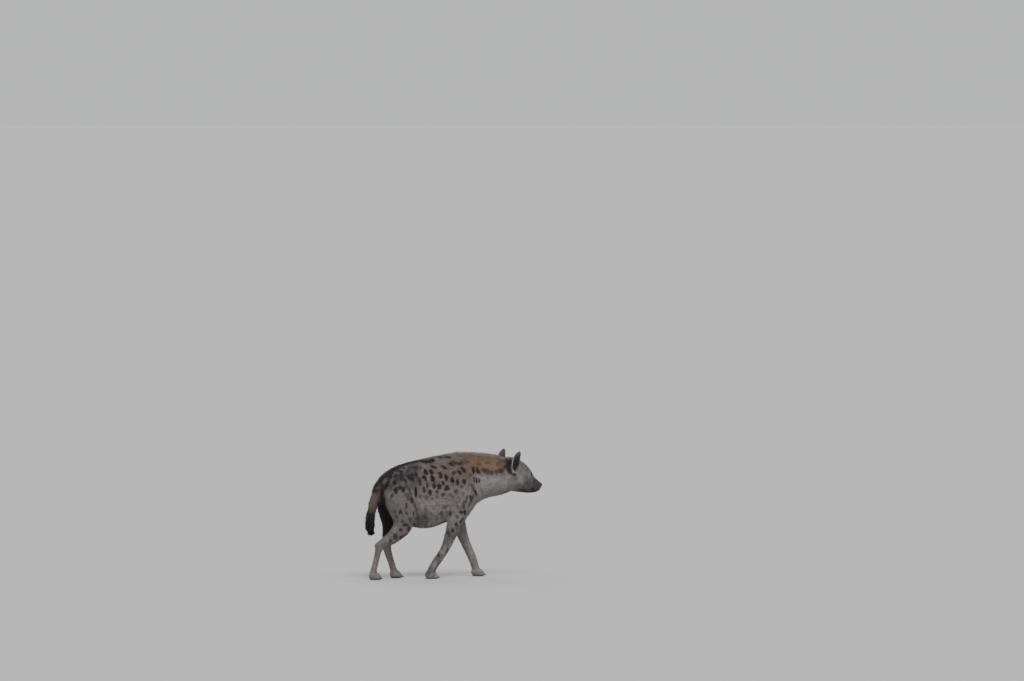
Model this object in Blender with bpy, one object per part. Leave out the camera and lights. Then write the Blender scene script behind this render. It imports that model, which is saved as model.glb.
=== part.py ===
"""A spotted hyena, still and life-size, as a museum shows one.

It walks along +X with its left legs forward and its right legs back, the head
turned a little to its left and held low, the mouth shut and the tail hanging.
The left side is +Y and the floor is z = 0. All sizes are in metres, and every
outline runs to the tips of the coat.
"""

import math
from collections import namedtuple

import bmesh
import bpy
from mathutils import Matrix, Vector

# Body slices stand across the X axis, from the rump to the nape.
BodySlice = namedtuple("BodySlice", "x top bottom half_width widest")
BODY_SLICES = (
    BodySlice(-0.520, 0.604, 0.556, 0.030, 0.582),
    BodySlice(-0.503, 0.634, 0.520, 0.062, 0.580),
    BodySlice(-0.468, 0.665, 0.464, 0.096, 0.570),
    BodySlice(-0.420, 0.695, 0.410, 0.118, 0.552),
    BodySlice(-0.350, 0.721, 0.350, 0.127, 0.528),
    BodySlice(-0.260, 0.742, 0.316, 0.134, 0.510),
    BodySlice(-0.160, 0.761, 0.318, 0.142, 0.505),
    BodySlice(-0.060, 0.778, 0.346, 0.142, 0.515),
    BodySlice(0.030, 0.791, 0.384, 0.132, 0.540),
    BodySlice(0.095, 0.787, 0.414, 0.118, 0.570),
    BodySlice(0.155, 0.783, 0.466, 0.106, 0.600),
    BodySlice(0.220, 0.776, 0.494, 0.098, 0.625),
    BodySlice(0.300, 0.763, 0.505, 0.090, 0.640),
    BodySlice(0.355, 0.750, 0.524, 0.081, 0.640),
    BodySlice(0.410, 0.728, 0.552, 0.062, 0.640),
)

# Head slices stand across the head's own axis, at a distance ahead of its centre.
HeadSlice = namedtuple("HeadSlice", "ahead top bottom half_width widest")
HEAD_SLICES = (
    HeadSlice(-0.125, 0.062, -0.050, 0.050, 0.010),
    HeadSlice(-0.095, 0.082, -0.080, 0.070, 0.005),
    HeadSlice(-0.056, 0.095, -0.096, 0.080, 0.000),
    HeadSlice(-0.009, 0.099, -0.109, 0.086, -0.010),
    HeadSlice(0.030, 0.097, -0.103, 0.086, -0.015),
    HeadSlice(0.062, 0.090, -0.095, 0.077, -0.015),
    HeadSlice(0.088, 0.079, -0.086, 0.068, -0.015),
    HeadSlice(0.108, 0.067, -0.079, 0.060, -0.018),
    HeadSlice(0.128, 0.055, -0.072, 0.055, -0.020),
    HeadSlice(0.152, 0.045, -0.064, 0.051, -0.018),
    HeadSlice(0.180, 0.039, -0.052, 0.048, -0.010),
    HeadSlice(0.198, 0.034, -0.037, 0.042, -0.005),
    HeadSlice(0.208, 0.024, -0.020, 0.033, 0.001),
    HeadSlice(0.212, 0.012, -0.004, 0.016, 0.004),
)
HEAD_CENTRE = Vector((0.394, 0.009, 0.640))
HEAD_YAW = math.radians(9)
HEAD_PITCH = math.radians(25)
HEAD_ROLL = math.radians(4)

# Limb slices stand across the limb's own path.
LimbSlice = namedtuple("LimbSlice", "x y z fore_aft sideways")
RIGHT_FORE = (
    LimbSlice(0.055, -0.088, 0.600, 0.075, 0.040),
    LimbSlice(0.030, -0.096, 0.500, 0.082, 0.046),
    LimbSlice(-0.005, -0.101, 0.425, 0.070, 0.047),
    LimbSlice(-0.045, -0.104, 0.345, 0.052, 0.042),
    LimbSlice(-0.078, -0.101, 0.250, 0.037, 0.033),
    LimbSlice(-0.110, -0.096, 0.178, 0.030, 0.027),
    LimbSlice(-0.150, -0.090, 0.118, 0.028, 0.026),
    LimbSlice(-0.185, -0.087, 0.070, 0.025, 0.027),
    LimbSlice(-0.203, -0.085, 0.030, 0.024, 0.028),
)
LEFT_FORE = (
    LimbSlice(0.040, 0.088, 0.600, 0.075, 0.040),
    LimbSlice(0.048, 0.096, 0.500, 0.080, 0.046),
    LimbSlice(0.052, 0.101, 0.425, 0.068, 0.047),
    LimbSlice(0.062, 0.103, 0.350, 0.050, 0.042),
    LimbSlice(0.088, 0.099, 0.262, 0.037, 0.033),
    LimbSlice(0.118, 0.094, 0.188, 0.031, 0.027),
    LimbSlice(0.148, 0.089, 0.122, 0.029, 0.026),
    LimbSlice(0.166, 0.086, 0.070, 0.025, 0.027),
    LimbSlice(0.176, 0.084, 0.030, 0.024, 0.028),
)
RIGHT_HIND = (
    LimbSlice(-0.425, -0.070, 0.610, 0.075, 0.045),
    LimbSlice(-0.410, -0.090, 0.500, 0.098, 0.055),
    LimbSlice(-0.388, -0.100, 0.410, 0.086, 0.050),
    LimbSlice(-0.388, -0.103, 0.345, 0.070, 0.043),
    LimbSlice(-0.422, -0.100, 0.295, 0.053, 0.037),
    LimbSlice(-0.468, -0.094, 0.255, 0.042, 0.031),
    LimbSlice(-0.512, -0.088, 0.230, 0.034, 0.026),
    LimbSlice(-0.537, -0.082, 0.204, 0.029, 0.024),
    LimbSlice(-0.550, -0.079, 0.160, 0.021, 0.020),
    LimbSlice(-0.564, -0.077, 0.105, 0.019, 0.020),
    LimbSlice(-0.577, -0.076, 0.055, 0.020, 0.023),
    LimbSlice(-0.583, -0.075, 0.026, 0.021, 0.026),
)
LEFT_HIND = (
    LimbSlice(-0.415, 0.070, 0.610, 0.075, 0.045),
    LimbSlice(-0.398, 0.090, 0.500, 0.098, 0.055),
    LimbSlice(-0.382, 0.100, 0.415, 0.098, 0.050),
    LimbSlice(-0.376, 0.103, 0.350, 0.086, 0.043),
    LimbSlice(-0.392, 0.099, 0.295, 0.063, 0.037),
    LimbSlice(-0.412, 0.092, 0.252, 0.045, 0.031),
    LimbSlice(-0.424, 0.086, 0.220, 0.034, 0.026),
    LimbSlice(-0.424, 0.082, 0.188, 0.028, 0.024),
    LimbSlice(-0.412, 0.079, 0.140, 0.024, 0.021),
    LimbSlice(-0.396, 0.077, 0.092, 0.022, 0.021),
    LimbSlice(-0.384, 0.076, 0.052, 0.022, 0.024),
    LimbSlice(-0.377, 0.075, 0.026, 0.022, 0.026),
)
TAIL = (
    LimbSlice(-0.474, 0.000, 0.618, 0.026, 0.030),
    LimbSlice(-0.503, 0.000, 0.594, 0.029, 0.031),
    LimbSlice(-0.526, 0.000, 0.552, 0.027, 0.028),
    LimbSlice(-0.540, 0.000, 0.500, 0.029, 0.028),
    LimbSlice(-0.553, 0.000, 0.450, 0.029, 0.028),
    LimbSlice(-0.565, 0.000, 0.405, 0.027, 0.027),
    LimbSlice(-0.568, 0.000, 0.350, 0.024, 0.024),
    LimbSlice(-0.561, 0.000, 0.313, 0.017, 0.018),
    LimbSlice(-0.556, 0.000, 0.288, 0.007, 0.008),
)
TAIL_TUFT_TOP = 0.415

# Rounded masses that fill out the shoulders, haunches, brows, wrists and hocks.
Mass = namedtuple("Mass", "x y z length width height lean")
SHOULDER_BLADE = Mass(0.025, 0.076, 0.610, 0.090, 0.046, 0.130, 14)
RUMP_MUSCLE = Mass(-0.415, 0.066, 0.535, 0.085, 0.052, 0.100, -10)
WRIST, HOCK = 6, 7
CARPAL_PAD = Mass(-0.016, 0.0, 0.008, 0.013, 0.012, 0.017, 0)
HOCK_POINT = Mass(-0.018, 0.0, 0.014, 0.017, 0.014, 0.022, 30)
BROW = Mass(0.084, 0.034, 0.046, 0.026, 0.018, 0.013, 0)

Paw = namedtuple("Paw", "name heel y length width")
PAWS = (
    Paw("fore_right", -0.236, -0.085, 0.092, 0.080),
    Paw("fore_left", 0.142, 0.084, 0.092, 0.080),
    Paw("hind_right", -0.607, -0.075, 0.086, 0.070),
    Paw("hind_left", -0.410, 0.075, 0.086, 0.070),
)
TOE_OFFSETS = (-0.36, -0.125, 0.125, 0.36)
OUTER_TOE_SETBACK = 0.11
CLAW_LENGTH = 0.019
CLAW_RADIUS = 0.0048
CLAW_SIDES = 6

EYE_RADIUS = 0.0135
EYE_DEPTH = 0.0088
EYE_AHEAD, EYE_ASIDE, EYE_ABOVE = 0.109, 0.064, 0.058
EYE_AIM = Vector((-0.42, -0.66, -0.40))
NOSE_PAD = Mass(0.2040, 0.0, 0.0165, 0.0170, 0.0230, 0.0165, 12)

EAR_HEIGHT = 0.134
EAR_HALF_WIDTH = 0.038
EAR_BASE_HALF_WIDTH = 0.024
EAR_CUP_DEPTH = 0.028
EAR_FRONT_STRAIGHTNESS = 0.6
EAR_TIP_AHEAD = 0.014
EAR_THICKNESS = 0.0065
EAR_EDGE = 0.0028
EAR_TURN_RIGHT, EAR_TURN_LEFT = math.radians(70), math.radians(12)
EAR_AHEAD, EAR_ASIDE, EAR_ABOVE = -0.026, 0.083, 0.000
EAR_LEAN_OUT = math.radians(8)
EAR_LEAN_FORWARD = math.radians(1)

RING_SIDES = 28
SLICES_BETWEEN = 4
REMESH_SIZE = 0.0056
FINE_PASSES, BROAD_PASSES = 6, 36
FLESH_FACES = 4200
GAP = 0.0004
REACH = 1.2

# Where one named piece ends and the next begins: a point of the cut and its lean.
Cut = namedtuple("Cut", "x z lean")
ELBOW_RIGHT, WRIST_RIGHT = Cut(-0.052, 0.318, -10), Cut(-0.150, 0.125, -32)
ELBOW_LEFT, WRIST_LEFT = Cut(0.072, 0.318, 20), Cut(0.147, 0.125, 22)
KNEE_RIGHT, HOCK_RIGHT = Cut(-0.398, 0.325, -30), Cut(-0.542, 0.190, -14)
KNEE_LEFT, HOCK_LEFT = Cut(-0.362, 0.325, -18), Cut(-0.428, 0.178, 10)
HEAD_JOIN_AHEAD, HEAD_JOIN_LEAN = -0.062, -17

FORE_INNER_Y = 0.036
HIND_INNER_Y = 0.030
OUTER_Y = 0.30
BELOW_FLOOR = -0.05
ABOVE_BACK = 0.95

COAT = ("coat", (0.42, 0.36, 0.29, 1.0), 0.9)
DARK_COAT = ("dark_coat", (0.05, 0.04, 0.035, 1.0), 0.9)
EYE_GLOSS = ("eye_gloss", (0.03, 0.015, 0.008, 1.0), 0.1)
NOSE_SKIN = ("nose_skin", (0.02, 0.02, 0.02, 1.0), 0.45)
CLAW_HORN = ("claw_horn", (0.10, 0.085, 0.07, 1.0), 0.5)


def clear_scene():
    for obj in list(bpy.data.objects):
        bpy.data.objects.remove(obj, do_unlink=True)


def material(finish):
    """The material of this name, colour and roughness, made once."""
    name, colour, roughness = finish
    found = bpy.data.materials.get(name)
    if found:
        return found
    made = bpy.data.materials.new(name)
    made.use_nodes = True
    shader = made.node_tree.nodes["Principled BSDF"]
    shader.inputs["Base Color"].default_value = colour
    shader.inputs["Roughness"].default_value = roughness
    shader.inputs["Metallic"].default_value = 0.0
    made.diffuse_color = colour
    return made


def add_object(name, mesh, finish=None):
    obj = bpy.data.objects.new(name, mesh)
    bpy.context.scene.collection.objects.link(obj)
    if finish:
        mesh.materials.clear()
        mesh.materials.append(material(finish))
        mesh.shade_smooth()
    else:
        obj.hide_render = True
        obj.display_type = "WIRE"
    return obj


def mesh_from(name, shape):
    """A mesh of a bmesh, with its faces turned outwards."""
    bmesh.ops.recalc_face_normals(shape, faces=shape.faces)
    mesh = bpy.data.meshes.new(name)
    shape.to_mesh(mesh)
    shape.free()
    return mesh


def eased(rows, steps):
    """Rows of numbers, with smooth ones added between each pair."""
    kind = type(rows[0])
    result = []
    for i in range(len(rows) - 1):
        before = rows[max(i - 1, 0)]
        after = rows[min(i + 2, len(rows) - 1)]
        for k in range(steps):
            t = k / steps
            result.append(
                kind(*(
                    b + 0.5 * t * (c - a + t * (2 * a - 5 * b + 4 * c - d + t * (3 * (b - c) + d - a)))
                    for a, b, c, d in zip(before, rows[i], rows[i + 1], after)
                ))
            )
    result.append(rows[-1])
    return result


def oval(centre, side, up, half_width, rise, drop):
    """A ring round a centre: an upper and a lower half ellipse that meet at the sides."""
    ring = []
    for k in range(RING_SIDES):
        angle = 2 * math.pi * k / RING_SIDES
        across, height = math.sin(angle), math.cos(angle)
        ring.append(centre + side * half_width * across + up * (rise if height > 0 else drop) * height)
    return ring


def skin_over(shape, rings):
    """Adds a closed tube through the rings to a bmesh."""
    rows = [[shape.verts.new(point) for point in ring] for ring in rings]
    for lower, upper in zip(rows, rows[1:]):
        for k in range(len(lower)):
            following = (k + 1) % len(lower)
            shape.faces.new((lower[k], lower[following], upper[following], upper[k]))
    shape.faces.new(rows[0][::-1])
    shape.faces.new(rows[-1])


def add_mass(shape, mass, centre, frame, fineness=3):
    """Adds a rounded mass, leaning by its own angle in the frame given."""
    turn = frame @ Matrix.Rotation(math.radians(mass.lean), 4, "Y")
    size = Matrix.Diagonal((mass.length, mass.width, mass.height, 1.0))
    place = Matrix.Translation(centre) @ turn @ size
    bmesh.ops.create_icosphere(shape, subdivisions=fineness, radius=1.0, matrix=place)


def head_frame():
    turn = Matrix.Rotation(HEAD_YAW, 4, "Z") @ Matrix.Rotation(HEAD_PITCH, 4, "Y")
    return turn @ Matrix.Rotation(HEAD_ROLL, 4, "X")


def head_point(ahead, left, above):
    return HEAD_CENTRE + head_frame() @ Vector((ahead, left, above))


def body_rings():
    rings = []
    for s in eased(BODY_SLICES, SLICES_BETWEEN):
        centre = Vector((s.x, 0.0, s.widest))
        rings.append(
            oval(centre, Vector((0, 1, 0)), Vector((0, 0, 1)), s.half_width, s.top - s.widest, s.widest - s.bottom)
        )
    return rings


def head_rings():
    frame = head_frame().to_3x3()
    side, up = frame @ Vector((0, 1, 0)), frame @ Vector((0, 0, 1))
    return [
        oval(head_point(s.ahead, 0.0, s.widest), side, up, s.half_width, s.top - s.widest, s.widest - s.bottom)
        for s in eased(HEAD_SLICES, SLICES_BETWEEN)
    ]


def limb_rings(slices, steps=SLICES_BETWEEN):
    """Rings across a limb's path, each square to the path where it stands."""
    rows = eased(slices, steps)
    rings = []
    for i, s in enumerate(rows):
        back, on = rows[max(i - 1, 0)], rows[min(i + 1, len(rows) - 1)]
        along = Vector((on.x - back.x, on.y - back.y, on.z - back.z)).normalized()
        fore = Vector((0, 1, 0)).cross(along).normalized()
        side = along.cross(fore).normalized()
        rings.append(oval(Vector((s.x, s.y, s.z)), side, fore, s.sideways, s.fore_aft, s.fore_aft))
    return rings


def add_paw(shape, paw):
    """Adds the pad and four toes of one paw, sunk a little through the floor to be cut flat."""
    flat = Matrix.Identity(4)
    middle = paw.heel + 0.40 * paw.length
    pad = Mass(0, 0, 0, 0.41 * paw.length, 0.43 * paw.width, 0.030, 0)
    add_mass(shape, pad, Vector((middle, paw.y, 0.024)), flat)
    for toe in TOE_OFFSETS:
        tip = toe_tip(paw, toe)
        knuckle = Mass(0, 0, 0, 0.27 * paw.length, 0.130 * paw.width, 0.0185, 14)
        add_mass(shape, knuckle, Vector((tip - 0.25 * paw.length, paw.y + toe * paw.width, 0.0165)), flat)


def toe_tip(paw, toe):
    setback = OUTER_TOE_SETBACK if abs(toe) > 0.2 else 0.0
    return paw.heel + (0.985 - setback) * paw.length


def side_of(mass, side):
    """The mass's place on one side of the body, -1 right and 1 left."""
    return Vector((mass.x, mass.y * side, mass.z))


def flesh_shape():
    """Every fleshy form of the animal laid into one another, before they are made one."""
    shape = bmesh.new()
    skin_over(shape, body_rings())
    skin_over(shape, head_rings())
    for limb in (RIGHT_FORE, LEFT_FORE, RIGHT_HIND, LEFT_HIND):
        skin_over(shape, limb_rings(limb))
    level = Matrix.Identity(4)
    for side in (-1, 1):
        add_mass(shape, SHOULDER_BLADE, side_of(SHOULDER_BLADE, side), level)
        add_mass(shape, RUMP_MUSCLE, side_of(RUMP_MUSCLE, side), level)
        add_mass(shape, BROW, head_point(BROW.x, side * BROW.y, BROW.z), head_frame())
    for limb in (RIGHT_FORE, LEFT_FORE):
        place = Vector(limb[WRIST][:3]) + Vector((CARPAL_PAD.x, 0, CARPAL_PAD.z))
        add_mass(shape, CARPAL_PAD, place, level)
    for limb in (RIGHT_HIND, LEFT_HIND):
        place = Vector(limb[HOCK][:3]) + Vector((HOCK_POINT.x, 0, HOCK_POINT.z))
        add_mass(shape, HOCK_POINT, place, level)
    for paw in PAWS:
        add_paw(shape, paw)
    return shape


def boolean(obj, cutter, operation):
    step = obj.modifiers.new(f"{operation.lower()}_{cutter.name}", "BOOLEAN")
    step.operation = operation
    step.solver = "EXACT"
    step.object = cutter


def settled(obj):
    """The mesh that an object's modifiers give, as a new mesh."""
    bpy.context.view_layer.update()
    graph = bpy.context.evaluated_depsgraph_get()
    return bpy.data.meshes.new_from_object(obj.evaluated_get(graph))


def blended_flesh():
    """The whole animal's flesh as one smooth closed mesh, not yet parted."""
    draft = add_object("flesh_draft", mesh_from("flesh_draft", flesh_shape()))
    remesh = draft.modifiers.new("blend", "REMESH")
    remesh.mode = "VOXEL"
    remesh.voxel_size = REMESH_SIZE
    blend = add_object("flesh_blend", settled(draft))
    trunk_only = blend.vertex_groups.new(name="trunk_only")
    for vertex in blend.data.vertices:
        trunk_only.add([vertex.index], trunk_share(vertex.co), "REPLACE")
    for name, passes, group in (("broad", BROAD_PASSES, "trunk_only"), ("fine", FINE_PASSES, "")):
        smooth = blend.modifiers.new(name, "SMOOTH")
        smooth.factor = 0.5
        smooth.iterations = passes
        smooth.vertex_group = group
    triangles = blend.modifiers.new("triangles", "TRIANGULATE")
    triangles.min_vertices = 4
    fine = settled(blend)
    decimate = blend.modifiers.new("lighten", "DECIMATE")
    decimate.ratio = FLESH_FACES / len(fine.polygons)
    return settled(blend)


def trunk_share(point):
    """How far a point belongs to the broad forms of trunk and neck: 1 there, 0 on head and lower legs."""
    below = min(max((point.z - 0.28) / 0.10, 0.0), 1.0)
    behind = min(max((0.36 - point.x) / 0.10, 0.0), 1.0)
    return below * behind


def floor_block():
    return box("below_floor", Vector((0, 0, BELOW_FLOOR / 2)), (2.0, 1.0, -BELOW_FLOOR), Matrix.Identity(4))


def box(name, centre, size, turn):
    """A hidden box to cut with."""
    shape = bmesh.new()
    bmesh.ops.create_cube(shape, size=1.0, matrix=Matrix.Diagonal((*size, 1.0)))
    cutter = add_object(name, mesh_from(name, shape))
    cutter.matrix_world = Matrix.Translation(centre) @ turn
    return cutter


def beyond(name, point, turn):
    """A hidden block that takes all on the +Z side of a plane, and half a gap before it."""
    centre = point + turn.to_3x3() @ Vector((0, 0, REACH / 2 - GAP / 2))
    return box(name, centre, (REACH, REACH, REACH), turn)


def prism(name, outline, y_from, y_to):
    """A hidden block of an outline in the XZ plane, between two distances across."""
    shape = bmesh.new()
    ends = [[shape.verts.new((x, y, z)) for x, z in outline] for y in (y_from, y_to)]
    for k in range(len(outline)):
        following = (k + 1) % len(outline)
        shape.faces.new((ends[0][k], ends[0][following], ends[1][following], ends[1][k]))
    shape.faces.new(ends[0][::-1])
    shape.faces.new(ends[1])
    return add_object(name, mesh_from(name, shape))


def grown(obj, amount):
    """A hidden copy of an object, swollen by an amount."""
    copy = add_object(obj.name + "_grown", settled(obj))
    copy.matrix_world = obj.matrix_world
    swell = copy.modifiers.new("swell", "DISPLACE")
    swell.strength = amount
    swell.mid_level = 0.0
    return copy


def limb_blocks():
    """The block that holds each leg, from the edge of the trunk to below the floor."""
    fore_top, hind_top = 0.430, 0.575
    fore_right = ((-0.100, fore_top), (0.150, fore_top), (0.150, BELOW_FLOOR), (-0.340, BELOW_FLOOR),
                  (-0.300, 0.090), (-0.150, 0.250), (-0.105, 0.330))
    fore_left = ((-0.060, fore_top), (0.150, fore_top), (0.300, BELOW_FLOOR), (0.010, BELOW_FLOOR),
                 (0.010, 0.250), (-0.010, 0.335))
    hind_right = ((-0.280, 0.295), (-0.308, 0.360), (-0.545, hind_top), (-0.640, 0.480),
                  (-0.660, BELOW_FLOOR), (-0.440, BELOW_FLOOR))
    hind_left = ((-0.235, 0.295), (-0.270, 0.360), (-0.545, hind_top), (-0.600, 0.480),
                 (-0.560, BELOW_FLOOR), (-0.220, BELOW_FLOOR))
    return {
        "fore_right": prism("block_fore_right", fore_right, -OUTER_Y, -FORE_INNER_Y),
        "fore_left": prism("block_fore_left", fore_left, FORE_INNER_Y, OUTER_Y),
        "hind_right": prism("block_hind_right", hind_right, -OUTER_Y, -HIND_INNER_Y),
        "hind_left": prism("block_hind_left", hind_left, HIND_INNER_Y, OUTER_Y),
    }


def limb_cuts():
    """The two planes that part each leg into its upper part, lower part and paw."""
    return {
        "fore_right": (ELBOW_RIGHT, WRIST_RIGHT, -0.09),
        "fore_left": (ELBOW_LEFT, WRIST_LEFT, 0.09),
        "hind_right": (KNEE_RIGHT, HOCK_RIGHT, -0.09),
        "hind_left": (KNEE_LEFT, HOCK_LEFT, 0.09),
    }


def leg_names(limb):
    pair, side = limb.split("_")
    upper, lower = ("upper_arm", "forearm") if pair == "fore" else ("thigh", "shank")
    foot = "fore_paw" if pair == "fore" else "hind_paw"
    return f"{upper}_{side}", f"{lower}_{side}", f"{foot}_{side}"


def make_legs(flesh, blocks):
    for limb, (high, low, y) in limb_cuts().items():
        upper, lower, foot = leg_names(limb)
        blade = {}
        for name, cut in (("high", high), ("low", low)):
            point = Vector((cut.x, y, cut.z))
            up = Matrix.Rotation(math.radians(-cut.lean), 4, "Y")
            down = up @ Matrix.Rotation(math.pi, 4, "X")
            blade["above_" + name] = beyond(f"{limb}_above_{name}", point, up)
            blade["below_" + name] = beyond(f"{limb}_below_{name}", point, down)
        for name, away in (
            (upper, ("below_high",)),
            (lower, ("above_high", "below_low")),
            (foot, ("above_low",)),
        ):
            piece = add_object(name, flesh.copy(), COAT)
            boolean(piece, blocks[limb], "INTERSECT")
            for side in away:
                boolean(piece, blade[side], "DIFFERENCE")


def make_body(flesh, blocks, eyes):
    """The trunk, neck and head, each the whole flesh less what lies beyond its cuts."""
    front = prism(
        "block_front", ((0.114, ABOVE_BACK), (0.900, ABOVE_BACK), (0.900, 0.395), (0.179, 0.395)), -OUTER_Y, OUTER_Y
    )
    join = head_point(HEAD_JOIN_AHEAD, 0.0, 0.0)
    turn = head_frame() @ Matrix.Rotation(math.radians(HEAD_JOIN_LEAN + 90), 4, "Y")
    ahead = beyond("ahead_of_nape", join, turn)
    behind = beyond("behind_nape", join, turn @ Matrix.Rotation(math.pi, 4, "X"))

    trunk = add_object("trunk", flesh.copy(), COAT)
    boolean(trunk, grown(front, GAP), "DIFFERENCE")
    for block in blocks.values():
        boolean(trunk, grown(block, GAP), "DIFFERENCE")
    neck = add_object("neck", flesh.copy(), COAT)
    boolean(neck, front, "INTERSECT")
    boolean(neck, ahead, "DIFFERENCE")
    head = add_object("head", flesh.copy(), COAT)
    boolean(head, front, "INTERSECT")
    boolean(head, behind, "DIFFERENCE")
    for eye in eyes:
        boolean(head, grown(eye, GAP), "DIFFERENCE")
    return head


def surface_point(flesh_object, start, aim):
    """Where a straight line from a point outside first meets the flesh."""
    hit, place, _, _ = flesh_object.ray_cast(start, aim)
    if not hit:
        raise ValueError("the line misses the flesh")
    return place


def make_eyes(flesh_object):
    """Two eyeballs, most of each one inside the head."""
    eyes = []
    turn = head_frame().to_3x3()
    for name, side in (("eye_right", -1), ("eye_left", 1)):
        aim = (turn @ Vector((EYE_AIM.x, EYE_AIM.y * side, EYE_AIM.z))).normalized()
        outside = head_point(EYE_AHEAD, side * EYE_ASIDE, EYE_ABOVE) - aim * 0.02
        centre = surface_point(flesh_object, outside, aim) + aim * EYE_DEPTH
        shape = bmesh.new()
        bmesh.ops.create_uvsphere(shape, u_segments=12, v_segments=8, radius=EYE_RADIUS)
        eye = add_object(name, mesh_from(name, shape), EYE_GLOSS)
        eye.location = centre
        eye.rotation_euler = (-aim).to_track_quat("Z", "Y").to_euler()
        eyes.append(eye)
    bpy.context.view_layer.update()
    return eyes


def make_nose(swollen):
    shape = bmesh.new()
    add_mass(shape, NOSE_PAD, head_point(NOSE_PAD.x, 0.0, NOSE_PAD.z), head_frame(), fineness=2)
    nose = add_object("nose", mesh_from("nose", shape), NOSE_SKIN)
    boolean(nose, swollen, "DIFFERENCE")
    return nose


def ear_outline(rise):
    """An ear's half width and cup depth at a share of its height."""
    widening = math.sin(math.pi * min(rise / 0.55, 1.0) / 2)
    width = EAR_BASE_HALF_WIDTH + (EAR_HALF_WIDTH - EAR_BASE_HALF_WIDTH) * widening
    if rise > 0.55:
        width *= math.sqrt(max(1 - ((rise - 0.55) / 0.45) ** 2.2, 0.0))
    depth = EAR_CUP_DEPTH * (1 - 0.80 * rise ** 1.2)
    return max(width, 0.006), depth


def make_ear(name, side, turned, swollen):
    """A thin cupped ear that opens forwards and outwards, its foot trimmed to the head."""
    rows, columns = 8, 7
    frame = head_frame().to_3x3()
    level = Matrix.Rotation(HEAD_YAW, 3, "Z")
    opening = level @ Vector((math.cos(turned), side * math.sin(turned), 0.0))
    up = level @ Vector((math.tan(EAR_LEAN_FORWARD), side * math.tan(EAR_LEAN_OUT), 1.0)).normalized()
    opening = (opening - up * opening.dot(up)).normalized()
    across = up.cross(opening).normalized()
    if across.dot(level @ Vector((1, 0, 0))) < 0:
        across = -across
    foot = HEAD_CENTRE + frame @ Vector((EAR_AHEAD, side * EAR_ASIDE, EAR_ABOVE))

    shape = bmesh.new()
    sheets = []
    for outwards in (1, 0):
        sheet = []
        for i in range(rows + 1):
            rise = i / rows
            width, depth = ear_outline(rise)
            shift = EAR_FRONT_STRAIGHTNESS * (EAR_BASE_HALF_WIDTH - width) + EAR_TIP_AHEAD * rise ** 3
            row = []
            for k in range(columns + 1):
                reach = 2 * k / columns - 1
                bowl = depth * (1 - abs(reach) ** 2.2)
                wall = EAR_EDGE + (EAR_THICKNESS - EAR_EDGE) * (1 - reach ** 2) * (1 - 0.5 * rise)
                point = foot + up * EAR_HEIGHT * rise + across * (width * reach + shift)
                point -= opening * (bowl + outwards * wall)
                row.append(shape.verts.new(point))
            sheet.append(row)
        sheets.append(sheet)
    back, inside = sheets
    for i in range(rows):
        for k in range(columns):
            for sheet, turn in ((back, 1), (inside, -1)):
                corners = (sheet[i][k], sheet[i][k + 1], sheet[i + 1][k + 1], sheet[i + 1][k])
                shape.faces.new(corners[::turn])
    edge = [(i, 0) for i in range(rows)] + [(rows, k) for k in range(columns)]
    edge += [(i, columns) for i in range(rows, 0, -1)] + [(0, k) for k in range(columns, 0, -1)]
    for (i, k), (m, n) in zip(edge, edge[1:] + edge[:1]):
        shape.faces.new((back[i][k], back[m][n], inside[m][n], inside[i][k]))
    ear = add_object(name, mesh_from(name, shape), DARK_COAT)
    boolean(ear, swollen, "DIFFERENCE")
    return ear


def make_tail(swollen):
    """The tail as a tube, trimmed to the rump and parted where its tuft begins."""
    block = box(
        "below_tuft_line", Vector((-0.57, 0, TAIL_TUFT_TOP / 2)), (0.3, 0.3, TAIL_TUFT_TOP - GAP), Matrix.Identity(4)
    )
    for name, finish, operation in (("tail", COAT, "DIFFERENCE"), ("tail_tuft", DARK_COAT, "INTERSECT")):
        shape = bmesh.new()
        rings = [ring[::2] for ring in limb_rings(TAIL, 2)]
        skin_over(shape, rings)
        piece = add_object(name, mesh_from(name, shape), finish)
        boolean(piece, block if operation == "INTERSECT" else grown(block, GAP), operation)
        if name == "tail":
            boolean(piece, swollen, "DIFFERENCE")


def make_claws(swollen):
    """A blunt curved claw on each toe, trimmed to the toe it grows from."""
    for paw in PAWS:
        for number, toe in enumerate(TOE_OFFSETS, 1):
            root = Vector((toe_tip(paw, toe) - 0.010, paw.y + toe * paw.width, 0.0165))
            shape = bmesh.new()
            rings = []
            for share in (0.0, 0.35, 0.7, 1.0):
                drop = 0.009 * share ** 1.5
                radius = CLAW_RADIUS * (1 - 0.70 * share ** 1.3)
                centre = root + Vector((CLAW_LENGTH * share, 0, -drop))
                ring = [
                    centre + Vector((0, math.cos(a) * radius * 0.75, math.sin(a) * radius))
                    for a in (2 * math.pi * k / CLAW_SIDES for k in range(CLAW_SIDES))
                ]
                rings.append(ring)
            skin_over(shape, rings)
            name = f"claw_{paw.name}_{number}"
            claw = add_object(name, mesh_from(name, shape), CLAW_HORN)
            boolean(claw, swollen, "DIFFERENCE")


def centre_on_floor():
    """Moves the whole animal so that the middle of its box stands over the origin."""
    anchor = bpy.data.objects.new("hyena", None)
    bpy.context.scene.collection.objects.link(anchor)
    bpy.context.view_layer.update()
    graph = bpy.context.evaluated_depsgraph_get()
    low, high = Vector((9, 9, 9)), Vector((-9, -9, -9))
    for obj in list(bpy.data.objects):
        if obj.type != "MESH":
            continue
        if not obj.hide_render:
            mesh = obj.evaluated_get(graph).to_mesh()
            for vertex in mesh.vertices:
                point = obj.matrix_world @ vertex.co
                low = Vector(map(min, low, point))
                high = Vector(map(max, high, point))
        obj.parent = anchor
    anchor.location = (-(low.x + high.x) / 2, -(low.y + high.y) / 2, -low.z)


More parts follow.
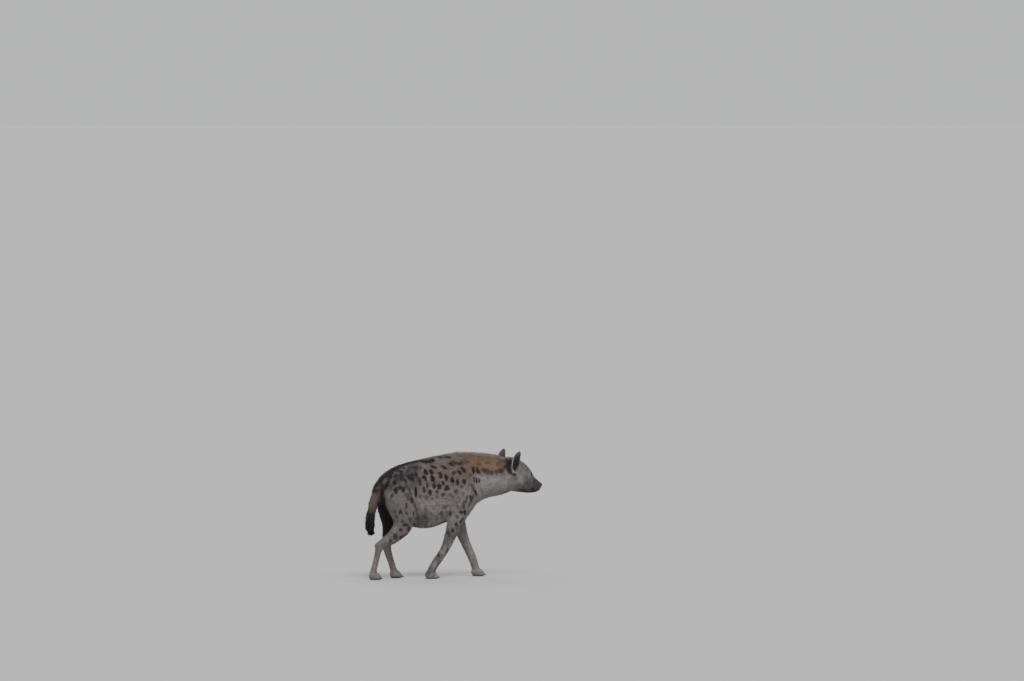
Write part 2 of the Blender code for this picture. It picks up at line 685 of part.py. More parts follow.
def main():
    clear_scene()
    flesh_mesh = blended_flesh()
    whole = add_object("whole_flesh", flesh_mesh)
    boolean(whole, floor_block(), "DIFFERENCE")
    flesh = settled(whole)
    whole.modifiers.clear()
    whole.data = flesh.copy()
    swollen = grown(whole, GAP)
    blocks = limb_blocks()
    make_legs(flesh, blocks)
    eyes = make_eyes(whole)
    make_body(flesh, blocks, eyes)
    make_nose(swollen)
    make_ear("ear_right", -1, EAR_TURN_RIGHT, swollen)
    make_ear("ear_left", 1, EAR_TURN_LEFT, swollen)
    make_tail(swollen)
    make_claws(swollen)
    centre_on_floor()


if __name__ == "__main__":
    main()
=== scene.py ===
"""The looks of a spotted hyena, life-size and still, as a museum shows one.

One skin is drawn over the animal's parts, inside them by the depth of its coat, and
given lids, lips, folds and toes. Tufts of hair then grow from it along the lie of the
coat. Skin and tufts share one set of markings. The file is laid out as a Blender
add-on and is run as a script. Sizes are in metres and the walk is along +X.
"""

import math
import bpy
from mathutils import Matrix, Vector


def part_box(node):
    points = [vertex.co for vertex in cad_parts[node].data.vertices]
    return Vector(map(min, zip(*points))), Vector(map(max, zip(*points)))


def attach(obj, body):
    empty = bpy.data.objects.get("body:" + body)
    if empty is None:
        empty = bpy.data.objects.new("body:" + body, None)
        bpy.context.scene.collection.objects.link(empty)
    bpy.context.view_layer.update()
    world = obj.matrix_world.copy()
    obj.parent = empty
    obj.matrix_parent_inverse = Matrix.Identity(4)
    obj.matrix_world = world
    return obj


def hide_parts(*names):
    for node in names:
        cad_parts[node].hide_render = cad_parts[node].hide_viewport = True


bl_info = {
    "name": "Spotted Hyena",
    "version": (1, 0, 0),
    "blender": (4, 5, 0),
    "location": "View3D > Sidebar > Hyena",
    "description": "Skin, coat, eyes, nose, claws and studio of a life-size spotted hyena",
    "category": "Object",
}

from collections import namedtuple

import bmesh
import bpy
import numpy as np
from mathutils import Matrix, Vector
from mathutils.bvhtree import BVHTree

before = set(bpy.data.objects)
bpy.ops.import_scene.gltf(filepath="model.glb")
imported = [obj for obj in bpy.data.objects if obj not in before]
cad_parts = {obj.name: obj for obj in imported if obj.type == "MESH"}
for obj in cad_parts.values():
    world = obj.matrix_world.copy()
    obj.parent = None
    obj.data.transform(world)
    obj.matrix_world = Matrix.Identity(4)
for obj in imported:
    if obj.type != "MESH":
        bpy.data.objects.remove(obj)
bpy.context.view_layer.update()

# The photograph's frame and the camera that took it.
PHOTO_WIDTH, PHOTO_HEIGHT = 1024, 681
SENSOR_WIDTH = 36.0
BODY_MIDDLE = Vector((0.0030, -0.0002, 0.0))

# The head's own frame: ahead, left and above its centre.
HEAD_CENTRE = Vector((0.3970, 0.0088, 0.6400))
HEAD_TURN = (
    Matrix.Rotation(math.radians(9), 3, "Z")
    @ Matrix.Rotation(math.radians(25), 3, "Y")
    @ Matrix.Rotation(math.radians(4), 3, "X")
)
NOSE_AHEAD, NOSE_ABOVE = 0.2040, 0.0165
EYE_AIM = Vector((0.42, 0.66, 0.40)).normalized()
EYE_RADIUS = 0.0125
EYE_SUNK = 0.0022
CAD_EYE_RADIUS = 0.0135

# Nodes of flesh, and the legs' parts from top to toe.
SIDES = ("right", "left")
FORE_PARTS, HIND_PARTS = ("upper_arm", "forearm", "fore_paw"), ("thigh", "shank", "hind_paw")
LEG_NODES = tuple(f"{part}_{side}" for side in SIDES for part in FORE_PARTS + HIND_PARTS)
EAR_NODES = ("ear_right", "ear_left")
FLESH_NODES = ("trunk", "neck", "head", "tail", "tail_tuft") + LEG_NODES + EAR_NODES
WELD = 0.00002
SWELL = 0.0003

# Ears, as sheets bent into a cup.
EAR_HEIGHT = 0.134
EAR_HALF_WIDTH, EAR_BASE_HALF_WIDTH = 0.038, 0.024
EAR_CUP_DEPTH = 0.028
EAR_FRONT_STRAIGHTNESS = 0.6
EAR_TIP_AHEAD = 0.014
EAR_THICKNESS = 0.0072
EAR_TURNS = {"ear_right": math.radians(70), "ear_left": math.radians(12)}
EAR_FOOT = Vector((-0.026, 0.083, 0.000))
EAR_LEAN_OUT, EAR_LEAN_FORWARD = math.radians(8), math.radians(1)
EAR_ROWS, EAR_COLUMNS = 30, 20
# The ears are drawn a little large, because smoothing takes their edges in.
EAR_GROWTH = 1.045

# How soft each part's skin is smoothed, and its hair: depth of the coat, length and width of a tuft.
Hair = namedtuple("Hair", "soft depth length width")
HAIR = {
    "trunk": Hair(1.00, 0.0080, 0.0200, 0.0034),
    "neck": Hair(1.00, 0.0085, 0.0240, 0.0036),
    "head": Hair(0.30, 0.0021, 0.0076, 0.0016),
    "tail": Hair(0.60, 0.0095, 0.0340, 0.0036),
    "tail_tuft": Hair(0.40, 0.0130, 0.0640, 0.0044),
    "upper_arm": Hair(0.70, 0.0050, 0.0140, 0.0028),
    "forearm": Hair(0.35, 0.0024, 0.0100, 0.0022),
    "fore_paw": Hair(0.10, 0.0011, 0.0056, 0.0016),
    "thigh": Hair(0.80, 0.0060, 0.0160, 0.0030),
    "shank": Hair(0.35, 0.0027, 0.0110, 0.0023),
    "hind_paw": Hair(0.12, 0.0012, 0.0060, 0.0016),
    "ear": Hair(0.10, 0.0008, 0.0066, 0.0015),
}
TAIL_FRONT = -0.525
SKIN_PASSES = 26
# Where the skin is broad and plain enough to be drawn with fewer faces: x and z, and the share saved.
BROAD_LOW, BROAD_HIGH = (-0.52, 0.34), (0.33, 0.90)
BROAD_SAVING = 0.42
FIELD_PASSES = 46

# Folds and edges of muscle, as lines on the side of the body (x, z), raised or sunk over a width.
Fold = namedtuple("Fold", "start end height width")
FOLDS = (
    Fold((0.085, 0.700), (0.115, 0.500), -0.0035, 0.013),
    Fold((-0.055, 0.640), (-0.085, 0.440), -0.0040, 0.015),
    Fold((-0.010, 0.560), (-0.020, 0.420), 0.0035, 0.022),
    Fold((-0.270, 0.500), (-0.290, 0.385), 0.0045, 0.014),
    Fold((-0.245, 0.490), (-0.262, 0.390), -0.0040, 0.013),
    Fold((-0.335, 0.665), (-0.365, 0.640), 0.0050, 0.022),
    Fold((-0.410, 0.600), (-0.395, 0.420), -0.0025, 0.020),
    Fold((-0.465, 0.300), (-0.535, 0.232), -0.0030, 0.009),
    Fold((0.180, 0.650), (0.215, 0.540), -0.0025, 0.016),
    Fold((0.275, 0.660), (0.300, 0.560), -0.0020, 0.014),
)

# Bumps and hollows of the face, in the head's frame, mirrored across it.
Bump = namedtuple("Bump", "ahead aside above height width")
FACE_BUMPS = (
    Bump(0.098, 0.034, 0.068, 0.0035, 0.016),
    Bump(0.075, 0.070, 0.010, 0.0040, 0.022),
    Bump(0.020, 0.086, -0.035, 0.0040, 0.034),
    Bump(0.118, 0.046, 0.010, -0.0030, 0.015),
    Bump(0.140, 0.030, 0.040, -0.0030, 0.016),
    Bump(0.060, 0.000, 0.090, -0.0020, 0.020),
    Bump(0.185, 0.040, -0.012, 0.0030, 0.014),
    Bump(0.170, 0.000, 0.045, -0.0015, 0.014),
)
MOUTH = (
    Vector((0.212, 0.000, -0.014)),
    Vector((0.204, 0.026, -0.019)),
    Vector((0.186, 0.043, -0.029)),
    Vector((0.160, 0.050, -0.031)),
    Vector((0.128, 0.054, -0.027)),
)
MOUTH_DEPTH, MOUTH_WIDTH = 0.0048, 0.0022
LIP_SHADE_WIDTH = 0.0060
EYE_CORNER_MARK = (Vector((0.112, 0.034, 0.043)), Vector((0.128, 0.028, 0.030)))

# Marks on the coat, each placed by a pixel of the photograph and sized in metres.
Marks = namedtuple("Marks", "wide tall lean strength places")
SPOTS = (
    Marks(0.021, 0.034, -8, 1.00, (
        (425.6, 472.4), (431.1, 472.2), (432.5, 478.9), (440.3, 475.6), (445.8, 477.6), (452.0, 480.4),
        (472.8, 470.3))),
    Marks(0.021, 0.029, -6, 0.92, (
        (433.7, 485.7), (457.3, 482.4), (439.2, 486.8), (429.8, 492.2), (394.5, 482.8), (395.6, 490.8),
        (402.9, 490.2), (463.6, 481.6), (464.6, 512.4))),
    Marks(0.018, 0.034, -50, 0.90, (
        (433.3, 467.5), (443.9, 467.9), (451.2, 464.8), (400.4, 471.8), (459.0, 472.6))),
    Marks(0.019, 0.036, -28, 0.95, ((424.4, 478.2), (477.7, 471.0), (463.1, 470.2), (475.2, 492.8))),
    Marks(0.030, 0.024, -20, 0.88, ((391.0, 473.4), (389.7, 477.2), (431.8, 461.0), (446.6, 488.2))),
    Marks(0.014, 0.032, -6, 0.88, (
        (420.0, 482.2), (416.0, 474.8), (427.1, 485.3), (424.0, 490.0), (412.8, 513.6), (470.0, 498.4))),
    Marks(0.014, 0.030, 10, 0.72, ((406.0, 506.0), (463.2, 506.8), (450.6, 513.6), (391.8, 496.2))),
    Marks(0.017, 0.054, 0, 1.00, ((415.6, 492.2),)),
    Marks(0.022, 0.042, 3, 1.00, ((387.4, 485.2),)),
    Marks(0.022, 0.046, 0, 0.80, ((412.4, 477.8),)),
    Marks(0.030, 0.019, 4, 0.90, ((378.0, 490.6), (399.8, 488.2), (440.2, 458.2), (447.8, 458.3))),
    Marks(0.062, 0.048, 0, 0.62, ((398.4, 478.4),)),
    Marks(0.066, 0.060, 8, 0.42, ((423.2, 519.4),)),
    Marks(0.019, 0.021, 0, 0.88, (
        (442.8, 483.5), (408.2, 476.9), (382.0, 482.9), (400.6, 512.3), (413.8, 523.0), (400.8, 530.0),
        (401.2, 537.2), (461.0, 512.2), (456.0, 524.8), (452.8, 531.0), (408.6, 528.8))),
    Marks(0.020, 0.020, 0, 0.70, (
        (442.7, 494.4), (455.8, 491.8), (461.6, 462.9), (448.2, 533.0), (437.4, 492.1), (390.6, 541.4),
        (457.4, 516.8), (453.8, 473.0))),
    Marks(0.023, 0.029, -4, 0.78, ((395.1, 536.4),)),
    Marks(0.034, 0.015, 0, 0.92, ((405.8, 525.0),)),
    Marks(0.036, 0.017, 0, 0.45, ((416.2, 517.6), (444.8, 506.6), (440.0, 513.4))),
    Marks(0.020, 0.017, -30, 0.58, ((413.6, 467.4), (416.8, 467.0), (420.4, 468.0), (402.6, 521.6))),
    Marks(0.017, 0.018, 0, 0.54, (
        (449.4, 494.2), (452.3, 497.0), (461.2, 487.0), (426.3, 497.6), (432.0, 498.4), (436.4, 497.0),
        (391.0, 489.2), (406.0, 487.0), (403.6, 468.4), (407.0, 471.6), (469.8, 475.2), (419.6, 496.8),
        (462.6, 493.6), (395.2, 511.6), (396.4, 516.4), (406.6, 512.6), (409.8, 520.0), (449.6, 535.6),
        (438.4, 555.6), (442.4, 548.6))),
    Marks(0.024, 0.025, 0, 0.64, ((491.2, 473.0), (496.2, 472.0), (487.0, 471.8))),
    Marks(0.034, 0.026, 0, 0.74, ((484.2, 470.4), (500.6, 470.6), (505.8, 467.2))),
    Marks(0.050, 0.070, 0, 0.34, ((504.0, 464.0),)),
    Marks(0.022, 0.018, 0, 0.40, ((487.5, 463.0), (498.0, 464.5), (479.5, 464.5))),
    Marks(0.011, 0.030, -4, 0.92, ((473.5, 480.3), (476.0, 480.5), (478.8, 480.6))),
)
Stroke = namedtuple("Stroke", "wide strength places")
STROKES = (
    Stroke(0.040, 1.00, (
        (374.8, 485.4), (380.2, 477.4), (385.6, 471.6), (392.2, 467.6), (400.0, 464.6), (407.6, 462.8),
        (415.0, 462.2))),
    Stroke(0.028, 0.95, ((387.0, 475.0), (391.0, 472.4), (397.0, 469.4))),
    Stroke(0.022, 0.95, ((398.0, 466.8), (403.0, 465.4), (408.0, 463.8))),
    Stroke(0.036, 1.00, ((420.0, 461.9), (426.0, 462.2), (432.0, 461.2))),
    Stroke(0.021, 0.85, ((452.4, 462.2), (456.0, 463.5), (459.0, 464.6))),
    Stroke(0.024, 0.50, ((461.5, 462.0), (464.5, 461.4), (468.0, 462.0))),
    Stroke(0.016, 0.95, ((401.2, 475.0), (403.0, 478.0), (405.4, 481.6))),
    # Painted shade: these strokes darken the fold along the front edge of the thigh.
    Stroke(0.014, 0.90, ((408.9, 489.0), (409.8, 492.0), (410.5, 495.2))),
    Stroke(0.028, 0.58, ((405.8, 494.0), (408.0, 497.5), (410.4, 501.0))),
    Stroke(0.021, 0.95, ((411.0, 497.5), (412.6, 502.5))),
    Stroke(0.024, 0.66, ((412.6, 502.5), (415.6, 508.5))),
    Stroke(0.022, 0.36, ((415.6, 508.5), (417.6, 517.0), (417.8, 523.0))),
    Stroke(0.015, 0.95, ((404.4, 536.0), (406.8, 534.2), (409.2, 532.6))),
    Stroke(0.016, 0.95, ((410.4, 531.6), (412.8, 529.8))),
    Stroke(0.014, 0.90, ((392.6, 544.6), (396.0, 542.8))),
    # Painted shade: a grey-dark stroke under a pale lock of the belly.
    Stroke(0.016, 0.45, ((424.6, 508.0), (428.0, 511.6), (431.6, 513.8))),
    Stroke(0.018, 0.75, ((470.4, 484.6), (472.2, 487.4), (473.6, 490.6))),
    Stroke(0.014, 0.75, ((466.8, 496.8), (465.2, 501.6))),
    Stroke(0.015, 0.72, ((473.0, 495.4), (471.2, 500.0), (468.2, 506.0))),
    Stroke(0.014, 0.50, ((463.4, 501.6), (461.2, 507.0))),
    Stroke(0.016, 0.80, ((463.0, 518.6), (459.6, 522.2))),
    Stroke(0.014, 0.55, ((459.8, 526.2), (457.2, 529.2))),
    Stroke(0.010, 0.50, ((448.8, 543.4), (447.4, 549.6))),
    # Painted shade: a wide dark band beside the root of the tail, for the shaded inside of the far thigh.
    Stroke(0.042, 0.93, ((384.2, 489.2), (383.8, 494.6), (383.6, 501.0), (384.8, 506.0))),
)
# Pale hair: a long lock before the thigh, and a shorter one below it.
PALE_STROKES = (
    Stroke(0.050, 1.00, ((481.6, 479.0), (484.0, 483.6), (486.4, 487.6))),
    Stroke(0.036, 0.95, ((493.0, 477.6), (496.0, 482.0))),
    Stroke(0.030, 0.90, ((503.6, 478.6), (506.4, 482.4))),
    Stroke(0.022, 1.00, ((420.8, 499.0), (423.8, 504.0), (427.6, 508.6), (432.2, 512.4))),
    Stroke(0.015, 0.95, ((425.0, 498.0), (429.4, 503.8), (434.4, 509.6), (439.4, 513.6))),
    Stroke(0.013, 0.70, ((431.0, 499.0), (437.0, 505.2), (443.6, 508.6))),
    Stroke(0.016, 0.95, ((427.6, 515.6), (431.6, 518.0), (436.0, 520.0))),
    Stroke(0.036, 0.60, ((446.0, 490.0), (454.0, 493.6))),
    Stroke(0.034, 0.60, ((433.0, 496.0), (438.0, 499.4), (450.0, 500.6))),
    Stroke(0.034, 0.55, ((437.0, 507.0), (445.0, 503.0))),
)
# Black marks of the head, mirrored across it.
HEAD_STROKES = (
    Stroke(0.036, 1.00, ((510.8, 457.8), (510.0, 465.0))),
    Stroke(0.036, 1.00, ((510.0, 465.0), (510.9, 469.4))),
    Stroke(0.028, 0.95, ((510.9, 469.4), (512.6, 472.8))),
    Stroke(0.022, 0.90, ((512.6, 472.8), (515.2, 474.6))),
    # Painted shadow: a grey stroke below the black patch behind the ear.
    Stroke(0.026, 0.42, ((514.0, 475.4), (516.6, 479.0))),
    Stroke(0.036, 0.34, ((526.8, 476.0), (526.6, 480.6))),
    Stroke(0.052, 0.57, ((527.2, 483.0), (529.4, 486.0))),
    Stroke(0.040, 0.52, ((530.6, 479.8), (530.8, 484.0), (532.6, 487.0))),
    Stroke(0.014, 0.95, ((531.6, 488.4), (534.2, 490.0))),
    # Painted shade at the corner of the jaw.
    Stroke(0.034, 0.34, ((519.0, 485.0), (523.0, 488.4))),
    Stroke(0.026, 0.85, ((520.0, 490.0), (527.0, 491.2), (533.0, 491.4))),
)
MARK_REACH = 0.085
SPOT_GROWTH = 1.22
LEFT_SHIFT, LEFT_SIZE = 0.011, 0.16

# Coat pieces: the parts they grow on, the side, the most tufts, and how many rings each tuft has.
CoatPiece = namedtuple("CoatPiece", "name parts side ends tufts rings slot axis")
COAT_PIECES = (
    CoatPiece("coat_rump_right", ("trunk",), -1, (-1.0, -0.18), 15500, 2, "coat", "x"),
    CoatPiece("coat_rump_left", ("trunk",), 1, (-1.0, -0.18), 15500, 2, "coat", "x"),
    CoatPiece("coat_shoulder_right", ("trunk",), -1, (-0.18, 1.0), 14500, 2, "coat", "x"),
    CoatPiece("coat_shoulder_left", ("trunk",), 1, (-0.18, 1.0), 14500, 2, "coat", "x"),
    CoatPiece("coat_neck_right", ("neck",), -1, (-1.0, 1.0), 10500, 2, "coat", "x"),
    CoatPiece("coat_neck_left", ("neck",), 1, (-1.0, 1.0), 10500, 2, "coat", "x"),
    CoatPiece("coat_head_right", ("head",), -1, (-1.0, 1.0), 13000, 2, "coat", "x"),
    CoatPiece("coat_head_left", ("head",), 1, (-1.0, 1.0), 13000, 2, "coat", "x"),
    CoatPiece("coat_ears", EAR_NODES, 0, (-1.0, 1.0), 4200, 2, "dark_coat", "z"),
    CoatPiece("coat_foreleg_right", tuple(f"{p}_right" for p in FORE_PARTS), 0, (-1.0, 1.0), 7000, 2, "coat", "z"),
    CoatPiece("coat_foreleg_left", tuple(f"{p}_left" for p in FORE_PARTS), 0, (-1.0, 1.0), 7000, 2, "coat", "z"),
    CoatPiece("coat_hindleg_right", tuple(f"{p}_right" for p in HIND_PARTS), 0, (-1.0, 1.0), 8000, 2, "coat", "z"),
    CoatPiece("coat_hindleg_left", tuple(f"{p}_left" for p in HIND_PARTS), 0, (-1.0, 1.0), 8000, 2, "coat", "z"),
    CoatPiece("coat_tail", ("tail",), 0, (-1.0, 1.0), 2600, 3, "coat", "z"),
    CoatPiece("coat_tail_tuft", ("tail_tuft",), 0, (-1.0, 1.0), 2200, 3, "dark_coat", "z"),
)
PATCH = 0.003
MOST_FACES = 198000

# What the operators have made and share: the skin's fields and the placed marks.
made = {}


def to_head(points):
    """Points in the head's frame, as rows of ahead, left and above."""
    return (points - np.array(HEAD_CENTRE)) @ np.array(HEAD_TURN)


def from_head(point):
    return HEAD_CENTRE + HEAD_TURN @ Vector(point)


def eye_centre(name):
    low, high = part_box(name)
    return (low + high) / 2


def eye_axes(name):
    """The way an eye looks, and the line of its lids towards the outer corner and up."""
    side = -1 if name.endswith("right") else 1
    out = HEAD_TURN @ Vector((EYE_AIM.x, EYE_AIM.y * side, EYE_AIM.z))
    corner = HEAD_TURN @ Vector((-0.80, 0.50 * side, 0.16))
    corner = (corner - out * corner.dot(out)).normalized()
    up = out.cross(corner).normalized()
    if up.dot(HEAD_TURN @ Vector((0, 0, 1))) < 0:
        up = -up
    return out, corner, up


def smooth_step(values, low, high):
    """0 below low and 1 above high, eased between; low may be the greater."""
    share = np.clip((values - low) / (high - low), 0.0, 1.0)
    return share * share * (3 - 2 * share)


def ripple(points, size, seed=0.0):
    """A smooth waviness from -1 to 1 that repeats nowhere near, with waves about a size long."""
    x, y, z = (points * (2 * math.pi / size)).T
    first = np.sin(x * 0.83 + 1.7 * np.sin(y * 0.61 + seed) + seed)
    second = np.sin(y * 0.91 + 1.9 * np.sin(z * 0.53 + 2.1 * seed) + 1.3)
    third = np.sin(z * 0.77 + 1.6 * np.sin(x * 0.57 + 0.7 * seed) + 2.9)
    return (first + second + third) / 3


def segment_distance(points, start, end):
    """How far points are from a line between two points, and how far along it."""
    start, end = np.array(start, float), np.array(end, float)
    line = end - start
    along = np.clip((points - start) @ line / max(line @ line, 1e-12), 0.0, 1.0)
    return np.linalg.norm(points - start - along[:, None] * line, axis=1), along


def path_distance(points, path):
    """How far points are from a path of straight runs."""
    runs = [segment_distance(points, a, b)[0] for a, b in zip(path, path[1:])]
    return np.min(runs, axis=0)


def read(items, name, width, kind=np.float64):
    values = np.empty(len(items) * width, np.float32 if kind == np.float64 else np.int32)
    items.foreach_get(name, values)
    return values.reshape(-1, width).astype(kind)


class Surface:
    """The skin's points and their neighbours, as arrays."""

    def __init__(self, mesh):
        self.mesh = mesh
        self.points = read(mesh.vertices, "co", 3)
        self.edges = read(mesh.edges, "vertices", 2, np.int64)
        self.neighbours = np.bincount(self.edges.ravel(), minlength=len(self.points)).astype(float)

    def averaged(self, values):
        """Each point's mean over its neighbours."""
        first, second = self.edges.T
        count = len(self.points)
        total = np.stack([
            np.bincount(first, values[second, k], count) + np.bincount(second, values[first, k], count)
            for k in range(values.shape[1])
        ], axis=1)
        return total / self.neighbours[:, None]

    def relaxed(self, values, passes, share=0.5):
        share = np.reshape(share, (-1, 1)) if np.ndim(share) else share
        for _ in range(passes):
            values = values + share * (self.averaged(values) - values)
        return values

    def write(self):
        self.mesh.vertices.foreach_set("co", self.points.astype(np.float32).ravel())
        self.mesh.update()

    def normals(self):
        self.write()
        return read(self.mesh.vertex_normals, "vector", 3)


def new_object(name, mesh, finish=None):
    obj = bpy.data.objects.new(name, mesh)
    bpy.context.scene.collection.objects.link(obj)
    if finish:
        mesh.materials.clear()
        mesh.materials.append(finish)
    return obj


def ear_axes(name):
    """An ear's foot, its up, the way it opens and the way across it."""
    side = -1 if name.endswith("right") else 1
    turned = EAR_TURNS[name]
    level = Matrix.Rotation(math.radians(9), 3, "Z")
    opening = level @ Vector((math.cos(turned), side * math.sin(turned), 0.0))
    up = level @ Vector((math.tan(EAR_LEAN_FORWARD), side * math.tan(EAR_LEAN_OUT), 1.0)).normalized()
    opening = (opening - up * opening.dot(up)).normalized()
    across = up.cross(opening).normalized()
    if across.dot(level @ Vector((1, 0, 0))) < 0:
        across = -across
    return from_head((EAR_FOOT.x, side * EAR_FOOT.y, EAR_FOOT.z)), up, opening, across


def ear_width(rise):
    """An ear's half width at a share of its height, and how far its middle leans back."""
    widening = np.sin(math.pi * np.minimum(rise / 0.55, 1.0) / 2)
    width = EAR_BASE_HALF_WIDTH + (EAR_HALF_WIDTH - EAR_BASE_HALF_WIDTH) * widening
    narrowing = np.sqrt(np.clip(1 - (np.maximum(rise - 0.55, 0.0) / 0.45) ** 2.2, 0.0, 1.0))
    width = np.maximum(width * narrowing, 0.006)
    return width, EAR_FRONT_STRAIGHTNESS * (EAR_BASE_HALF_WIDTH - width) + EAR_TIP_AHEAD * rise ** 3


def add_ear(shape, name):
    """Adds a cupped ear of even thickness to a bmesh, its foot well inside the head."""
    foot, up, opening, across = ear_axes(name)
    sheets = []
    for outwards in (1, 0):
        sheet = []
        for i in range(EAR_ROWS + 1):
            rise = i / EAR_ROWS
            width, shift = ear_width(rise)
            depth = EAR_CUP_DEPTH * (1 - 0.80 * rise ** 1.2)
            row = []
            for k in range(EAR_COLUMNS + 1):
                reach = 2 * k / EAR_COLUMNS - 1
                bowl = depth * (1 - abs(reach) ** 2.2)
                point = foot + up * (EAR_HEIGHT * rise * EAR_GROWTH) + across * (width * reach * EAR_GROWTH + shift)
                point -= opening * (bowl - 0.0015 + outwards * EAR_THICKNESS)
                row.append(shape.verts.new(point))
            sheet.append(row)
        sheets.append(sheet)
    back, inside = sheets
    faces = []
    for i in range(EAR_ROWS):
        for k in range(EAR_COLUMNS):
            for sheet, turn in ((back, 1), (inside, -1)):
                corners = (sheet[i][k], sheet[i][k + 1], sheet[i + 1][k + 1], sheet[i + 1][k])
                faces.append(shape.faces.new(corners[::turn]))
    rim = [(i, 0) for i in range(EAR_ROWS)] + [(EAR_ROWS, k) for k in range(EAR_COLUMNS)]
    rim += [(i, EAR_COLUMNS) for i in range(EAR_ROWS, 0, -1)] + [(0, k) for k in range(EAR_COLUMNS, 0, -1)]
    for (i, k), (m, n) in zip(rim, rim[1:] + rim[:1]):
        faces.append(shape.faces.new((back[i][k], back[m][n], inside[m][n], inside[i][k])))
    bmesh.ops.recalc_face_normals(shape, faces=faces)


def flesh_draft():
    """Every part of flesh, welded, and swollen a hair's breadth so that the cuts between them close."""
    shape = bmesh.new()
    for name in FLESH_NODES + ("eye_right", "eye_left", "nose"):
        if name not in EAR_NODES:
            shape.from_mesh(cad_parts[name].data)
    bmesh.ops.remove_doubles(shape, verts=shape.verts, dist=WELD)
    bmesh.ops.recalc_face_normals(shape, faces=shape.faces)
    shape.normal_update()
    for vert in shape.verts:
        vert.co += vert.normal * SWELL
    for name in EAR_NODES:
        add_ear(shape, name)
    return shape


def settled(obj):
    """A new mesh of what an object's modifiers give."""
    bpy.context.view_layer.update()
    graph = bpy.context.evaluated_depsgraph_get()
    return bpy.data.meshes.new_from_object(obj.evaluated_get(graph))


def blended_skin(voxel):
    """The whole draft as one closed mesh of even squares."""
    mesh = bpy.data.meshes.new("flesh_draft")
    shape = flesh_draft()
    shape.to_mesh(mesh)
    shape.free()
    draft = new_object("flesh_draft", mesh)
    blend = draft.modifiers.new("blend", "REMESH")
    blend.mode = "VOXEL"
    blend.voxel_size = voxel
    whole = new_object("whole_skin", settled(draft))
    points = read(whole.data.vertices, "co", 3)
    x, y, z = points.T
    broad = (x > BROAD_LOW[0]) & (x < BROAD_HIGH[0]) & (z > BROAD_LOW[1]) & (z < BROAD_HIGH[1])
    group = whole.vertex_groups.new(name="broad")
    group.add([int(k) for k in np.nonzero(broad)[0]], 1.0, "REPLACE")
    thin = whole.modifiers.new("thin", "DECIMATE")
    thin.vertex_group = group.name
    thin.ratio = 1 - BROAD_SAVING
    skin = settled(whole)
    bpy.data.objects.remove(draft)
    bpy.data.objects.remove(whole)
    return skin


def refined(mesh, chosen, passes=1):
    """Splits the squares whose corners are all chosen."""
    shape = bmesh.new()
    shape.from_mesh(mesh)
    shape.verts.ensure_lookup_table()
    edges = [e for e in shape.edges if chosen[e.verts[0].index] and chosen[e.verts[1].index]]
    bmesh.ops.subdivide_edges(shape, edges=edges, cuts=1, use_grid_fill=True, smooth=0.0)
    shape.to_mesh(mesh)
    shape.free()
    return mesh


def nearest_parts(points):
    """The index in FLESH_NODES of the part nearest to each point."""
    corners, faces, owners = [], [], []
    for index, name in enumerate(FLESH_NODES):
        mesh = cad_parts[name].data
        mesh.calc_loop_triangles()
        start = len(corners)
        corners.extend(v.co.copy() for v in mesh.vertices)
        for triangle in mesh.loop_triangles:
            faces.append([start + k for k in triangle.vertices])
            owners.append(index)
    tree = BVHTree.FromPolygons(corners, faces)
    return np.array([owners[tree.find_nearest(Vector(point))[2]] for point in points])


def is_part(labels, *names):
    """1 where a point belongs to one of the parts named, or to a left or right one of that name."""
    wanted = [
        index for index, node in enumerate(FLESH_NODES)
        if node in names or node.rsplit("_", 1)[0] in names
    ]
    return np.isin(labels, wanted)


def hair_of(labels):
    """Softness, depth, length and width of hair for each point, by the part it belongs to."""
    rows = []
    for node in FLESH_NODES:
        name = node if node in HAIR else node.rsplit("_", 1)[0]
        rows.append(HAIR[name])
    return np.array(rows)[labels]


def middle_line(points, along, step=0.012):
    """A line through the middles of thin slices of points: places along, and the slices' centres."""
    bins = np.floor((along - along.min()) / step).astype(int)
    count = np.bincount(bins)
    full = count > 0
    centres = np.stack([np.bincount(bins, points[:, k])[full] / count[full] for k in range(3)], axis=1)
    places = (np.nonzero(full)[0] + 0.5) * step + along.min()
    if len(places) > 4:
        for _ in range(3):
            centres[1:-1] = (centres[:-2] + 2 * centres[1:-1] + centres[2:]) / 4
    return places, centres


def on_line(places, centres, along):
    return np.stack([np.interp(along, places, centres[:, k]) for k in range(3)], axis=1)


